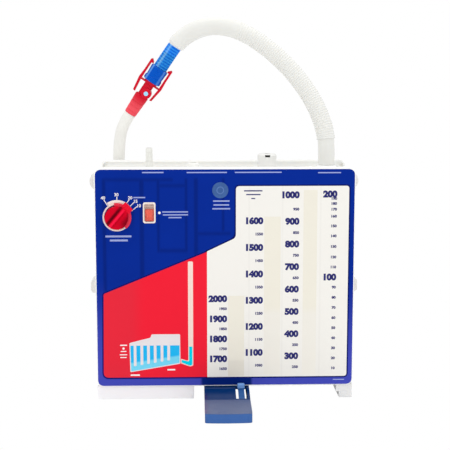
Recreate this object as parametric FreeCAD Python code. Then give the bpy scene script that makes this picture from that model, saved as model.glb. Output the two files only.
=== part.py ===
import FreeCAD, Part
import math
import os

# Chest drainage unit: a flat dry-suction drainage case with a printed face, a dial,
# a swing-out floor stand, two hanger hooks and its patient tubing.
# Millimetres. X runs to the viewer's right, Y runs to the rear, Z runs up from the floor.
# The origin is the middle of the unit's footprint, tubing apart, at floor level.

# Case
case_width = 300.0
case_height = 258.0
case_depth = 95.0
floor_gap = 16.0
plate_thickness = 3.0
plate_corner = 7.0
plate_edge_round = 0.9
lip_depth = 5.0
lip_thickness = 2.0
side_recess = 11.0
deck_recess = 12.0
belly_recess = 2.0
wall = 2.4
divider_thickness = 2.0

# Collection columns, from the right-hand side: inner width, and the spill edge's drop from the top
service_duct_width = 14.0
column_widths = (12.0, 42.0, 36.5)
spill_drops = (31.0, 31.0, 61.0)
seal_wall_x = -22.0
shelf_from_top = 96.0
suction_wall_x = -61.0
suction_wall_top_gap = 14.0
seal_vent_width = 12.0

# Feet
left_foot_to_stand = 12.4
foot_corner = 5.0
right_foot_width = 19.0
right_foot_step = 3.5
right_foot_step_height = 7.0
right_foot_depth = 24.0

# Suction dial on the face
dial_from_left = 25.6
dial_from_top = 56.6
bezel_inner_radius = 14.2
bezel_outer_radius = 16.8
bezel_height = 1.9
scale_arc_radius = 19.9
scale_arc_height = 1.5
scale_arc_from = 22.0
scale_arc_to = 124.0
knob_radius = 13.3
knob_top_radius = 12.5
knob_height = 13.0
knob_edge_round = 1.2
grip_depth = 4.0
grip_width = 5.0
grip_angle = 50.0
skirt_radius = 16.8
skirt_thickness = 2.0
skirt_from_angle = -50.0
skirt_to_angle = 100.0
tab_angle = 43.0
tab_reach = 19.9
tab_width = 12.0
tab_height = 4.0
dial_shaft_radius = 5.0
running_fit = 0.1
part_gap = 0.3
flute_count = 18
flute_radius = 1.1

# Suction regulator behind the dial
regulator_radius = 11.5
regulator_depth = 34.0
regulator_wall = 2.0
cam_radius = 8.0
cam_depth = 6.0
spring_radius = 6.0
spring_wire = 1.3
spring_wire_sides = 6
spring_turns = 4
diaphragm_thickness = 1.2
diaphragm_room = 6.0
poppet_radius = 3.0

# Suction float in its window
float_window_from_dial = 37.1
float_window_above_dial = 4.9
float_window_width = 14.4
float_window_height = 24.2
float_frame = 1.6
float_window_corner = 2.6
window_proud = 0.8
float_width = 10.6
float_height = 13.6
float_thickness = 6.0
float_travel = 6.0
float_slack = 0.5
cage_wall = 1.4

# Negative pressure indicator
indicator_x = -5.8
indicator_from_top = 25.9
indicator_radius = 9.3
indicator_proud = 1.0
indicator_flag_radius = 6.4
indicator_flag_thickness = 3.0
indicator_travel = 2.5
indicator_cup_wall = 1.2

# Calibrated seal column and air leak meter behind the face
seal_column_x = -40.4
seal_column_radius = 2.9
seal_column_below_shelf = 13.0
seal_bend_radius = 8.0
meter_left = -111.0
meter_right = -52.8
meter_step_x = -86.6
meter_top_right = 78.4
meter_top_left = 67.2
meter_bottom_left = 33.2
meter_bottom_right = 43.8
meter_depth = 10.0
meter_wall = 1.5
water_level = 65.6
meter_baffles = 6
baffle_thickness = 3.0
baffle_foot_clearance = 7.0

# One-way seal valve in the wall between the chambers
valve_seat_radius = 11.0
valve_bore_radius = 6.5
valve_seat_depth = 4.0
valve_from_top = 46.0

# Fittings on the deck, with their heights above it
fitting_y_from_front = 47.0
suction_port_from_left = 61.0
suction_port_radius = 4.4
suction_port_bore = 2.6
suction_port_height = 31.0
suction_flange_radius = 8.5
suction_flange_height = 3.0
barb_depth = 0.55
barb_pitch = 5.0
barb_count = 3
injection_x = -36.9
injection_radius = 6.6
injection_height = 13.0
septum_radius = 4.2
septum_depth = 5.0
relief_x = 50.9
relief_radius = 11.3
relief_height = 23.7
relief_floor = 1.5
relief_wall = 2.2
relief_slot_width = 5.8
relief_slot_height = 2.4
relief_slot_from_top = 1.0
relief_button_radius = 3.3
relief_button_flange = 6.0
relief_filter_height = 6.0
vent_slots = 8
vent_slot_width = 1.6
positive_valve_x = 10.0
positive_valve_radius = 8.0
positive_valve_height = 4.5
patient_port_from_right = 28.2
patient_port_radius = 11.5
patient_port_bore = 6.0
patient_port_height = 10.0

# Floor stand
stand_reach = 80.0
stand_x = 1.6
stand_half_width = 26.2
stand_pivot_from_front = 44.0
stand_lip_height = 11.0
stand_top = 15.0
stand_ramp_from_face = 6.5
stand_ramp_length = 27.0
stand_wall = 2.5
stand_corner = 3.0
stand_corner_depth = 6.0
stand_rib_thickness = 1.6
stand_rib_count = 3
stand_front_bow = 1.2
tongue_offset = 16.6
tongue_width = 7.0
tongue_slot = 3.0
tongue_length = 28.0
tongue_from_ramp_foot = 2.0
tongue_end_slot = 1.5
tongue_thickness = 2.0
knob_block_width = 8.4
knob_block_length = 5.6
knob_block_top = 20.6
pin_radius = 4.0
pin_head_radius = 7.5
pin_head_height = 2.4
pin_length_in_case = 7.0
pin_recess = 2.5
washer_thickness = 1.0
stand_boss_radius = 13.0

# Hanger hooks at the sides
hanger_pivot_inset = 2.5
hanger_pivot_from_top = 20.0
hanger_hub_radius = 12.0
hanger_width = 14.0
hanger_thickness = 5.0
hanger_drop = 134.0
hook_gap = 26.0
hook_limb = 9.0
hook_tip_height = 34.0
hook_jog_start = 49.0
hook_jog_end = 78.0
thumb_pad_proud = 9.6
thumb_pad_height = 16.0
thumb_pad_width = 20.0
hanger_pin_radius = 3.0
hanger_pin_head_radius = 5.0
hanger_pin_head = 1.6
ear_thickness = 3.0
ear_gap = 0.4
hub_clearance = 1.5

# Tubing: the corrugated hose, its connector and the plain tube to the patient
hose_radius = 11.0
tube_radius = 7.25
connector_foot = (-114.6, 102.2, 330.6)
connector_head = (-65.6, 95.0, 403.0)
hose_lead = 14.5
tube_lead = 15.6
sleeve_length = 28.1
sleeve_foot_radius = 7.6
sleeve_top_radius = 8.7
sample_port_height = 32.7
sample_port_radius = 6.4
sample_port_offset = 3.0
sample_plug_radius = 2.7
red_neck_radius = 6.1
socket_foot = 47.6
socket_top = 67.4
socket_foot_radius = 11.2
socket_top_radius = 11.0
socket_barb_radius = 7.9
latch_arm_thickness = 2.8
latch_arm_gap = 1.3
latch_arm_bulge = 0.8
latch_arm_lean = 1.9
latch_hook_bite = 0.8
latch_hook_height = 5.2
latch_web_thickness = 1.8
latch_arm_width = 7.0
coil_radius = 77.0
coil_centre = (0.0, 177.5)
coil_entry_angle = 270.0
coil_exit_angle = 60.0
coil_open_angle = 40.0
end_fitting_length = 46.0
end_fitting_grip = 14.0
end_fitting_radius = 6.0
end_fitting_tip_radius = 4.2
end_fitting_bore = 2.8

# Places that follow from the sizes above
front = (stand_reach - case_depth) / 2
back = front + case_depth
middle = front + case_depth / 2
inner_front = front + plate_thickness
inner_back = back - plate_thickness
half_width = case_width / 2
case_bottom = floor_gap
case_top = floor_gap + case_height
deck = case_top - deck_recess
belly = case_bottom + belly_recess
body_half = half_width - side_recess
pivot_y = front + stand_pivot_from_front
nose_y = front - stand_reach
ramp_top_y = front - stand_ramp_from_face
ramp_foot_y = ramp_top_y - stand_ramp_length
fitting_y = front + fitting_y_from_front
dial_x = -half_width + dial_from_left
dial_z = case_top - dial_from_top
float_window_x = dial_x + float_window_from_dial
float_window_z = dial_z + float_window_above_dial
indicator_z = case_top - indicator_from_top
shelf_z = case_top - shelf_from_top
seal_column_top = shelf_z - seal_column_below_shelf
valve_z = case_top - valve_from_top
suction_port_x = -half_width + suction_port_from_left
suction_port_top = deck + suction_port_height
injection_top = deck + injection_height
relief_top = deck + relief_height
patient_port_x = half_width - patient_port_from_right
patient_port_top = deck + patient_port_height
left_foot_end = stand_x - stand_half_width - left_foot_to_stand
hanger_pivot_x = half_width - hanger_pivot_inset
hanger_pivot_z = case_top - hanger_pivot_from_top
hanger_foot_z = hanger_pivot_z - hanger_drop
hook_jog_top = hanger_pivot_z - hook_jog_start
hook_jog_bottom = hanger_pivot_z - hook_jog_end
thumb_pad_reach = half_width + thumb_pad_proud

# Route of the corrugated hose, from its port to the connector: x, distance behind the face, z
hose_route = (
    (121.8, 47.0, 272.0), (121.8, 47.0, 289.0), (121.2, 49.0, 305.0),
    (117.9, 52.0, 321.5), (109.8, 57.0, 341.5), (98.6, 62.0, 361.0),
    (84.4, 67.0, 380.0), (66.6, 72.0, 398.5), (47.5, 76.0, 414.5),
    (27.5, 79.5, 427.5), (7.0, 83.0, 435.5), (-13.0, 86.5, 437.5),
    (-30.5, 89.5, 433.6), (-45.8, 92.0, 425.6),
)
# Route of the plain tube, from the connector down behind the case to the coil on the floor
tube_route = (
    (-128.2, 106.0, 299.5), (-130.0, 108.0, 270.0), (-129.2, 108.6, 229.0),
    (-128.4, 108.0, 185.0), (-129.0, 108.4, 142.0), (-127.2, 108.0, 104.0),
    (-120.0, 107.6, 68.0), (-103.0, 108.2, 36.0), (-76.0, 107.6, 13.5),
    (-48.0, 108.2, 7.25), (-24.0, 108.0, 7.25),
)


def vec(x, y, z):
    """A point or direction."""
    return FreeCAD.Vector(x, y, z)


def block(x0, x1, y0, y1, z0, z1):
    """A box between three pairs of limits."""
    return Part.makeBox(x1 - x0, y1 - y0, z1 - z0, vec(x0, y0, z0))


def rod(x, y, z0, z1, radius):
    """An upright cylinder."""
    return Part.makeCylinder(radius, z1 - z0, vec(x, y, z0))


def rod_y(x, z, y0, y1, radius):
    """A cylinder that runs from front to rear."""
    return Part.makeCylinder(radius, y1 - y0, vec(x, y0, z), vec(0, 1, 0))


def prism(points, plane, low, high):
    """A polygon given in the XZ, YZ or XY plane, drawn out across it from low to high."""
    makers = {
        "xz": (lambda a, b: vec(a, low, b), vec(0, high - low, 0)),
        "yz": (lambda a, b: vec(low, a, b), vec(high - low, 0, 0)),
        "xy": (lambda a, b: vec(a, b, low), vec(0, 0, high - low)),
    }
    place, reach = makers[plane]
    corners = [place(a, b) for a, b in points]
    return Part.Face(Part.makePolygon(corners + corners[:1])).extrude(reach)


def rounded_block(x0, x1, z0, z1, corner, y0, y1):
    """A plate facing the front, with its four corners rounded."""
    plate = block(x0, x1, y0, y1, z0, z1)
    upright = [e for e in plate.Edges if abs(e.tangentAt(e.FirstParameter).y) > 0.99]
    return plate.makeFillet(corner, upright)


def turned(profile, origin, direction=None):
    """A solid turned from (radius, height) points about an axis through origin."""
    points = [vec(r, 0, h) for r, h in profile]
    face = Part.Face(Part.makePolygon(points + points[:1]))
    solid = face.revolve(vec(0, 0, 0), vec(0, 0, 1), 360)
    turn = FreeCAD.Rotation(vec(0, 0, 1), direction or vec(0, 0, 1))
    return placed(solid, FreeCAD.Placement(vec(*origin), turn))


def placed(shape, placement):
    """The shape moved and turned by a placement, with nothing left on it to undo."""
    return shape.transformed(placement.toMatrix(), True)


def fuse(*shapes):
    """One solid of several that touch or overlap."""
    whole = shapes[0]
    for shape in shapes[1:]:
        whole = whole.fuse(shape)
    return whole.removeSplitter()


def save(name, shape):
    """Writes one sub-part to its own file."""
    shape.exportStep("parts/" + name + ".step")
    print(f"{name}: {len(shape.Solids)} solid, {shape.Volume / 1000:.2f} cm3, valid {shape.isValid()}")


def column_dividers():
    """Middle of each wall between the collection columns, with the height of its spill edge."""
    walls = []
    edge = body_half - wall - service_duct_width
    for width, drop in zip(column_widths, spill_drops):
        edge = edge - divider_thickness - width
        walls.append((edge - divider_thickness / 2, case_top - drop))
    return walls


def flanged_plate(y_outside, y_inside):
    """A front or rear plate: a rounded sheet with a lip round its edge, towards the case."""
    inward = 1 if y_inside > y_outside else -1
    lip_end = y_inside + inward * lip_depth
    low, high = sorted((y_outside, lip_end))
    whole = rounded_block(-half_width, half_width, case_bottom, case_top, plate_corner, low, high)
    rim = [e for e in whole.Edges if all(abs(v.Y - y_outside) < 1e-6 for v in e.Vertexes)]
    whole = whole.makeFillet(plate_edge_round, rim)
    low, high = sorted((y_inside, lip_end + inward))
    inside = rounded_block(
        -half_width + lip_thickness, half_width - lip_thickness,
        case_bottom + lip_thickness, case_top - lip_thickness,
        plate_corner - lip_thickness, low, high,
    )
    return whole.cut(inside)


def window_hole(margin, y0, y1):
    """The suction float's window opening, or a body that fits it with a margin."""
    half_x = float_window_width / 2 - margin
    half_z = float_window_height / 2 - margin
    return rounded_block(
        float_window_x - half_x, float_window_x + half_x,
        float_window_z - half_z, float_window_z + half_z,
        float_window_corner - margin / 2, y0, y1,
    )


def face_plate():
    """The printed face, with its holes for the dial, the float window and the indicator."""
    plate = flanged_plate(front, inner_front)
    plate = plate.cut(rod_y(dial_x, dial_z, front - 1, inner_front + 1, dial_shaft_radius + running_fit))
    plate = plate.cut(window_hole(float_frame, front - 1, inner_front + 1))
    eye = indicator_radius - indicator_cup_wall
    return plate.cut(rod_y(indicator_x, indicator_z, front - 1, inner_front + 1, eye))


def rear_plate():
    """The rear plate, with a shallow weld groove behind each wall of the case."""
    plate = flanged_plate(back, inner_back)
    groove_half = divider_thickness
    for x in [seal_wall_x] + [wall_x for wall_x, _ in column_dividers()]:
        plate = plate.cut(block(
            x - groove_half, x + groove_half, back - 0.6, back + 1,
            belly + plate_corner, deck - plate_corner,
        ))
    return plate


def hanger_pockets(grow):
    """The corner pockets that the hanger hubs turn in, grown by a wall where asked."""
    wall_x = hanger_pivot_x - hanger_hub_radius - hub_clearance
    half_y = hanger_width / 2 + ear_gap + ear_thickness
    foot = hanger_pivot_z - hanger_hub_radius - hub_clearance
    pockets = []
    for side in (-1, 1):
        x0, x1 = sorted((side * (wall_x - grow), side * (body_half + 1 - grow)))
        pockets.append(block(
            x0, x1, middle - half_y - grow, middle + half_y + grow, foot - grow, deck + 1 - grow,
        ))
    return pockets


def hanger_ears():
    """Two ears a side that carry a hanger's pin."""
    wall_x = hanger_pivot_x - hanger_hub_radius - hub_clearance
    inner = hanger_width / 2 + ear_gap
    ears = []
    for side in (-1, 1):
        for way in (-1, 1):
            y0, y1 = sorted((middle + way * inner, middle + way * (inner + ear_thickness)))
            round_end = rod_y(side * hanger_pivot_x, hanger_pivot_z, y0, y1, 2 * hanger_pin_radius)
            x0, x1 = sorted((side * (wall_x - wall / 2), side * hanger_pivot_x))
            web = block(
                x0, x1, y0, y1,
                hanger_pivot_z - 2 * hanger_pin_radius, hanger_pivot_z + 2 * hanger_pin_radius,
            )
            hole = rod_y(side * hanger_pivot_x, hanger_pivot_z, y0 - 1, y1 + 1, hanger_pin_radius)
            ears.append(round_end.fuse(web).cut(hole))
    return ears


def feet(shrink):
    """The wide left foot box and the two stepped right feet, or their insides."""
    top = belly if shrink == 0 else belly + wall
    left = block(
        -half_width + shrink, left_foot_end - shrink,
        inner_front + shrink, inner_back - shrink, shrink, top,
    )
    parts = [left]
    if shrink == 0:
        corner = [
            e for e in left.Edges
            if abs(e.tangentAt(e.FirstParameter).y) > 0.99 and e.CenterOfMass.z < 1
            and e.CenterOfMass.x < -half_width + 1
        ]
        parts = [left.makeFillet(foot_corner, corner)]
        for y0 in (inner_front, inner_back - right_foot_depth):
            y1 = y0 + right_foot_depth
            upper = block(half_width - right_foot_width, half_width, y0, y1, right_foot_step_height, belly)
            lower = block(
                half_width - right_foot_width + right_foot_step, half_width, y0, y1,
                0, right_foot_step_height,
            )
            parts.append(upper.fuse(lower))
    return parts


def chamber_body():
    """The moulded case between the plates: walls, dividers, deck, feet and fitting seats."""
    case = block(-body_half, body_half, inner_front, inner_back, belly, deck)
    hollow_from = inner_front + lip_depth
    lip_rooms = [
        block(-half_width - 1, half_width + 1, inner_front - 1, inner_front + lip_depth, case_bottom, belly),
        block(-half_width - 1, half_width + 1, inner_back - lip_depth, inner_back + 1, case_bottom, belly),
    ]
    for foot in feet(0):
        case = case.fuse(foot.cut(Part.makeCompound(lip_rooms)))
    inside = block(
        -body_half + wall, body_half - wall, inner_front - 1, inner_back + 1, belly + wall, deck - wall,
    )
    case = case.cut(inside)
    for foot in feet(wall):
        inner = foot.common(block(
            -body_half + wall, half_width, hollow_from, inner_back, 0, belly + wall,
        ))
        case = case.cut(inner)
    pockets = hanger_pockets(wall)
    for pocket in pockets:
        case = case.fuse(pocket)
    for pocket in hanger_pockets(0):
        case = case.cut(pocket)
    ribs = []
    for x, spill in column_dividers():
        ribs.append(block(
            x - divider_thickness / 2, x + divider_thickness / 2,
            inner_front, inner_back, belly + wall / 2, spill,
        ))
    duct_x = body_half - wall - service_duct_width
    ribs.append(block(
        duct_x - divider_thickness, duct_x, inner_front, inner_back, belly + wall + 12, deck - wall / 2,
    ))
    ribs.append(block(
        seal_wall_x - divider_thickness / 2, seal_wall_x + divider_thickness / 2,
        inner_front, inner_back, belly + wall / 2, deck - wall / 2,
    ))
    ribs.append(block(
        -body_half + wall / 2, seal_wall_x - seal_vent_width, inner_front, inner_back,
        shelf_z, shelf_z + divider_thickness,
    ))
    ribs.append(block(
        suction_wall_x, suction_wall_x + divider_thickness, inner_front, inner_back,
        shelf_z + divider_thickness / 2, deck - wall - suction_wall_top_gap,
    ))
    for rib in ribs:
        case = case.fuse(rib)
    flow = Part.makeCylinder(
        valve_bore_radius, 4 * divider_thickness,
        vec(seal_wall_x - 2 * divider_thickness, middle, valve_z), vec(1, 0, 0),
    )
    case = case.cut(flow)
    for ear in hanger_ears():
        case = case.fuse(ear)
    boss = rod(stand_x, pivot_y, stand_top + part_gap, belly + wall + pin_length_in_case, stand_boss_radius)
    bore = rod(stand_x, pivot_y, 0, belly + wall + pin_length_in_case - wall, pin_radius)
    case = case.fuse(boss.cut(bore)).cut(bore)
    for x, radius in deck_bores():
        case = case.cut(rod(x, fitting_y, deck - wall - 1, deck + 1, radius))
    return case.removeSplitter()


def deck_bores():
    """Where the deck is bored for its fittings, and how wide."""
    return (
        (suction_port_x, suction_port_bore),
        (injection_x, septum_radius - 1.5),
        (relief_x, relief_radius - relief_wall - 2),
        (positive_valve_x, positive_valve_radius / 2),
        (patient_port_x, patient_port_bore),
    )


def dial_bezel():
    """The white ring on the face round the dial."""
    profile = [
        (bezel_inner_radius, 0), (bezel_outer_radius, 0),
        (bezel_outer_radius, bezel_height * 0.6), (bezel_outer_radius - 0.8, bezel_height),
        (bezel_inner_radius + 0.5, bezel_height), (bezel_inner_radius, bezel_height * 0.7),
    ]
    ring = turned(profile, (dial_x, front, dial_z), vec(0, -1, 0))
    arc = dial_sector(scale_arc_radius, scale_arc_height, front, scale_arc_from, scale_arc_to)
    under_ring = (bezel_inner_radius + bezel_outer_radius) / 2
    inside = rod_y(dial_x, dial_z, front - bezel_height, front, under_ring)
    return fuse(ring, arc.cut(inside))


def dial_sector(radius, thickness, y, from_angle, to_angle):
    """A part cylinder on the dial's axis, between two angles anticlockwise from the right."""
    sweep = to_angle - from_angle
    sector = Part.makeCylinder(radius, thickness, vec(dial_x, y, dial_z), vec(0, -1, 0), sweep)
    middle = sector.CenterOfMass
    start = math.degrees(math.atan2(middle.z - dial_z, middle.x - dial_x)) - sweep / 2
    sector.rotate(vec(dial_x, 0, dial_z), vec(0, -1, 0), from_angle - start)
    return sector


def around_dial(radius, angle):
    """A point on the face, as (x, z), at a radius and an angle anticlockwise from the right."""
    turn = math.radians(angle)
    return dial_x + radius * math.cos(turn), dial_z + radius * math.sin(turn)


def suction_dial():
    """The red dial: knob with a finger ridge, sector skirt, pointer tab, shaft and cam."""
    skirt_y = front - bezel_height - part_gap
    crown = knob_height - grip_depth
    knob = turned(
        [
            (0, part_gap), (knob_radius, part_gap), (knob_radius, crown - knob_edge_round),
            (knob_top_radius, crown), (0, crown),
        ],
        (dial_x, front, dial_z), vec(0, -1, 0),
    )
    for k in range(flute_count):
        x, z = around_dial(knob_radius + flute_radius * 0.45, 360 * k / flute_count)
        knob = knob.cut(rod_y(x, z, front - knob_height, skirt_y - skirt_thickness, flute_radius))
    ridge_reach = knob_top_radius - 0.6
    ridge = rounded_block(
        dial_x - ridge_reach, dial_x + ridge_reach, dial_z - grip_width / 2, dial_z + grip_width / 2,
        grip_width / 2 - 0.05, front - knob_height, front - knob_height + grip_depth + 0.5,
    )
    ridge.rotate(vec(dial_x, 0, dial_z), vec(0, -1, 0), grip_angle)
    skirt = dial_sector(skirt_radius, skirt_thickness, skirt_y, skirt_from_angle, skirt_to_angle)
    tab = rounded_block(
        dial_x + knob_top_radius - 1, dial_x + tab_reach, dial_z - tab_width / 2, dial_z + tab_width / 2,
        0.8, skirt_y - tab_height, skirt_y,
    )
    tab.rotate(vec(dial_x, 0, dial_z), vec(0, -1, 0), tab_angle)
    shaft_end = inner_front + cam_depth
    shaft = rod_y(dial_x, dial_z, front - part_gap, shaft_end, dial_shaft_radius)
    cam = rod_y(dial_x, dial_z, inner_front + part_gap, shaft_end, cam_radius)
    cam_cut = block(
        dial_x - cam_radius, dial_x + cam_radius, shaft_end - cam_depth / 3, shaft_end + 1,
        dial_z, dial_z + cam_radius,
    )
    return fuse(knob, ridge, skirt, tab, shaft, cam.cut(cam_cut))


def regulator_housing():
    """The cup behind the face that holds the regulator's spring and diaphragm."""
    low = inner_front
    cup = rod_y(dial_x, dial_z, low, low + regulator_depth, regulator_radius)
    room_radius = regulator_radius - regulator_wall
    room = rod_y(dial_x, dial_z, low - 1, low + regulator_depth - regulator_wall, room_radius)
    outlet = rod_y(dial_x, dial_z, low, low + regulator_depth + 1, poppet_radius + part_gap)
    return cup.cut(room).cut(outlet)


def regulator_stack():
    """Places along the regulator: spring start, spring end, diaphragm's far side."""
    spring_start = inner_front + cam_depth + part_gap
    diaphragm_start = inner_front + regulator_depth - regulator_wall - diaphragm_room
    return spring_start, diaphragm_start, diaphragm_start + diaphragm_thickness


def regulator_spring():
    """The coil spring between the dial's cam and the diaphragm."""
    start, end, _ = regulator_stack()
    start = start + spring_wire / 2
    end = end - spring_wire / 2
    pitch = (end - start) / spring_turns
    path = Part.makeHelix(pitch, end - start, spring_radius)
    corners = []
    for k in range(spring_wire_sides):
        turn = 2 * math.pi * (k + 0.5) / spring_wire_sides
        reach = spring_wire / 2
        corners.append(vec(spring_radius + reach * math.cos(turn), 0, reach * math.sin(turn)))
    section = Part.makePolygon(corners + corners[:1])
    spring = Part.Wire(path.Edges).makePipeShell([section], True, True)
    turn = FreeCAD.Rotation(vec(0, 0, 1), vec(0, 1, 0))
    return placed(spring, FreeCAD.Placement(vec(dial_x, start, dial_z), turn))


def regulator_diaphragm():
    """The rubber disc that the spring presses."""
    _, start, end = regulator_stack()
    return rod_y(dial_x, dial_z, start, end, regulator_radius - regulator_wall)


def regulator_poppet():
    """The valve stem on the diaphragm that opens the suction passage."""
    _, _, start = regulator_stack()
    stem = rod_y(dial_x, dial_z, start, inner_front + regulator_depth, poppet_radius)
    disc = rod_y(dial_x, dial_z, start, start + 1.5, poppet_radius * 2)
    return fuse(stem, disc)


def float_window():
    """The clear window with its white frame over the suction float."""
    frame = window_hole(0, front - window_proud, front)
    lens = window_hole(float_frame + 0.05, front - 0.2, front + 1.6)
    pocket = window_hole(float_frame + 0.05, front - window_proud - 1, front - window_proud * 0.4)
    return fuse(frame, lens).cut(pocket)


def float_cage():
    """The box behind the face that the suction float slides in."""
    half_x = float_width / 2 + float_slack + cage_wall
    bottom = float_window_z - float_window_height / 2 + float_frame
    top = bottom + float_height + float_travel + float_slack
    depth = float_thickness + 2 * float_slack + cage_wall
    box = block(
        float_window_x - half_x, float_window_x + half_x, inner_front, inner_front + depth,
        bottom - cage_wall, top + cage_wall,
    )
    room = block(
        float_window_x - half_x + cage_wall, float_window_x + half_x - cage_wall,
        inner_front - 1, inner_front + depth - cage_wall, bottom, top,
    )
    air = rod(float_window_x, inner_front + depth / 2, bottom - cage_wall - 1, bottom + 1, 1.6)
    return box.cut(room).cut(air)


def suction_float():
    """The orange float that lifts while suction is on."""
    bottom = float_window_z - float_window_height / 2 + float_frame
    y0 = inner_front + float_slack
    half_x = float_width / 2
    body = block(
        float_window_x - half_x, float_window_x + half_x, y0, y0 + float_thickness,
        bottom + 0.02, bottom + float_height,
    )
    long_edges = [e for e in body.Edges if abs(e.tangentAt(e.FirstParameter).z) > 0.99]
    return body.makeFillet(1.2, long_edges)


def indicator_lens():
    """The clear button-shaped window of the negative pressure indicator."""
    profile = [
        (0, 0), (indicator_radius, 0), (indicator_radius, indicator_proud * 0.5),
        (indicator_radius - 1.2, indicator_proud), (0, indicator_proud),
    ]
    return turned(profile, (indicator_x, front, indicator_z), vec(0, -1, 0))


def indicator_cup():
    """The cup behind the face that guides the indicator's flag."""
    room = indicator_flag_radius + float_slack
    depth = indicator_flag_thickness + indicator_travel + 2 * float_slack
    cup = rod_y(
        indicator_x, indicator_z, inner_front, inner_front + depth + indicator_cup_wall,
        room + indicator_cup_wall,
    )
    hollow = rod_y(indicator_x, indicator_z, inner_front - 1, inner_front + depth, room)
    stem_hole = rod_y(indicator_x, indicator_z, inner_front, inner_front + depth + 5, 2 + running_fit)
    return cup.cut(hollow).cut(stem_hole)


def indicator_flag():
    """The flag that pulls back from the indicator's window under negative pressure."""
    y0 = inner_front - plate_thickness + 0.4
    length = plate_thickness + 0.1 + indicator_flag_thickness - 1.0
    head = rod_y(indicator_x, indicator_z, y0, y0 + length, indicator_flag_radius)
    stem = rod_y(indicator_x, indicator_z, y0 + length, inner_front + 9.0, 2.0)
    return fuse(head, stem)


def seal_column():
    """The calibrated clear tube: down, then round to the air leak meter."""
    y = inner_front + seal_column_radius
    foot = meter_bottom_right + seal_column_radius + seal_bend_radius
    path = Part.Wire([
        Part.LineSegment(vec(seal_column_x, y, seal_column_top), vec(seal_column_x, y, foot)).toShape(),
        Part.Arc(
            vec(seal_column_x, y, foot),
            vec(
                seal_column_x - seal_bend_radius * (1 - math.sqrt(0.5)), y,
                foot - seal_bend_radius * math.sqrt(0.5),
            ),
            vec(seal_column_x - seal_bend_radius, y, foot - seal_bend_radius),
        ).toShape(),
        Part.LineSegment(
            vec(seal_column_x - seal_bend_radius, y, foot - seal_bend_radius),
            vec(meter_right + meter_wall, y, foot - seal_bend_radius),
        ).toShape(),
    ])
    circle = Part.makeCircle(seal_column_radius, vec(seal_column_x, y, seal_column_top), vec(0, 0, 1))
    return path.makePipeShell([Part.Wire(circle)], True, False)


def meter_outline(inset):
    """The leak meter's outline on the face, as (x, z) points, drawn in by an inset."""
    left = meter_left + inset
    right = meter_right - inset
    step = meter_step_x + inset
    rise = (meter_top_right - meter_top_left) * 0.45
    return [
        (left, meter_bottom_left + inset), (right, meter_bottom_right + inset),
        (right, meter_top_right - inset), (step, meter_top_right - inset),
        (step, meter_top_left + rise - inset), (left, meter_top_left - inset),
    ]


def baffle_places():
    """Middle of each of the leak meter's baffles."""
    first = meter_left + 5.6
    last = meter_right - 12.0
    gap = (last - first) / (meter_baffles - 1)
    return [first + k * gap for k in range(meter_baffles)]


def slope_at(x):
    """Height of the leak meter's sloping floor at x."""
    share = (x - meter_left) / (meter_right - meter_left)
    return meter_bottom_left + share * (meter_bottom_right - meter_bottom_left)


def leak_meter_cell():
    """The clear cell of the air leak meter, with its row of hanging baffles."""
    y0, y1 = inner_front, inner_front + meter_depth
    shell = prism(meter_outline(0), "xz", y0, y1)
    shell = shell.cut(prism(meter_outline(meter_wall), "xz", y0 - 1, y1 - meter_wall))
    for x in baffle_places():
        foot = slope_at(x) + baffle_foot_clearance
        shell = shell.fuse(block(
            x - baffle_thickness / 2, x + baffle_thickness / 2, y0, y1 - meter_wall / 2,
            foot, meter_top_left - meter_wall / 2,
        ))
    return shell.removeSplitter()


def leak_meter_water():
    """The coloured water in the leak meter, up to its level and round the baffles."""
    y0, y1 = inner_front, inner_front + meter_depth - meter_wall
    water = prism(meter_outline(meter_wall), "xz", y0, y1)
    water = water.common(block(meter_left, meter_right, y0, y1, 0, water_level))
    for x in baffle_places():
        foot = slope_at(x) + baffle_foot_clearance
        water = water.cut(block(
            x - baffle_thickness / 2, x + baffle_thickness / 2, y0 - 1, y1 + 1, foot, case_top,
        ))
    return water


def seal_valve_seat():
    """The seat ring of the one-way seal valve."""
    profile = [
        (valve_bore_radius, 0), (valve_seat_radius, 0),
        (valve_seat_radius, valve_seat_depth), (valve_bore_radius, valve_seat_depth),
    ]
    x = seal_wall_x - divider_thickness / 2
    return turned(profile, (x, middle, valve_z), vec(-1, 0, 0))


def seal_valve_flap():
    """The rubber flap that closes the seal valve against back flow."""
    x = seal_wall_x - divider_thickness / 2 - valve_seat_depth
    profile = [(0, 0), (valve_seat_radius - 1, 0), (valve_seat_radius - 2, 1.2), (2.5, 1.6), (0, 2.8)]
    return turned(profile, (x, middle, valve_z), vec(-1, 0, 0))


def suction_port():
    """The suction port on the deck: a straight shank, with barbs above it that are no wider."""
    flange_top = deck + suction_flange_height
    narrow = suction_port_radius - barb_depth
    first = suction_port_top - barb_count * barb_pitch
    profile = [
        (suction_port_bore, deck), (suction_flange_radius, deck), (suction_flange_radius, flange_top),
        (suction_port_radius, flange_top + 1), (suction_port_radius, first - 1), (narrow, first - 1),
    ]
    for k in range(barb_count):
        foot = first + k * barb_pitch
        profile.append((narrow, foot))
        profile.append((suction_port_radius, foot))
        profile.append((narrow, foot + barb_pitch - 1))
    profile.append((narrow, suction_port_top))
    profile.append((suction_port_bore, suction_port_top))
    return turned(profile, (suction_port_x, fitting_y, 0))


def injection_port():
    """The socket on the deck that holds the injection septum."""
    profile = [
        (septum_radius - 1.5, deck), (injection_radius + 1, deck), (injection_radius + 1, deck + 2),
        (injection_radius, deck + 3), (injection_radius, injection_top - 0.6),
        (injection_radius - 0.6, injection_top), (septum_radius, injection_top),
        (septum_radius, injection_top - septum_depth), (septum_radius - 1.5, injection_top - septum_depth),
    ]
    return turned(profile, (injection_x, fitting_y, 0))


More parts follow.
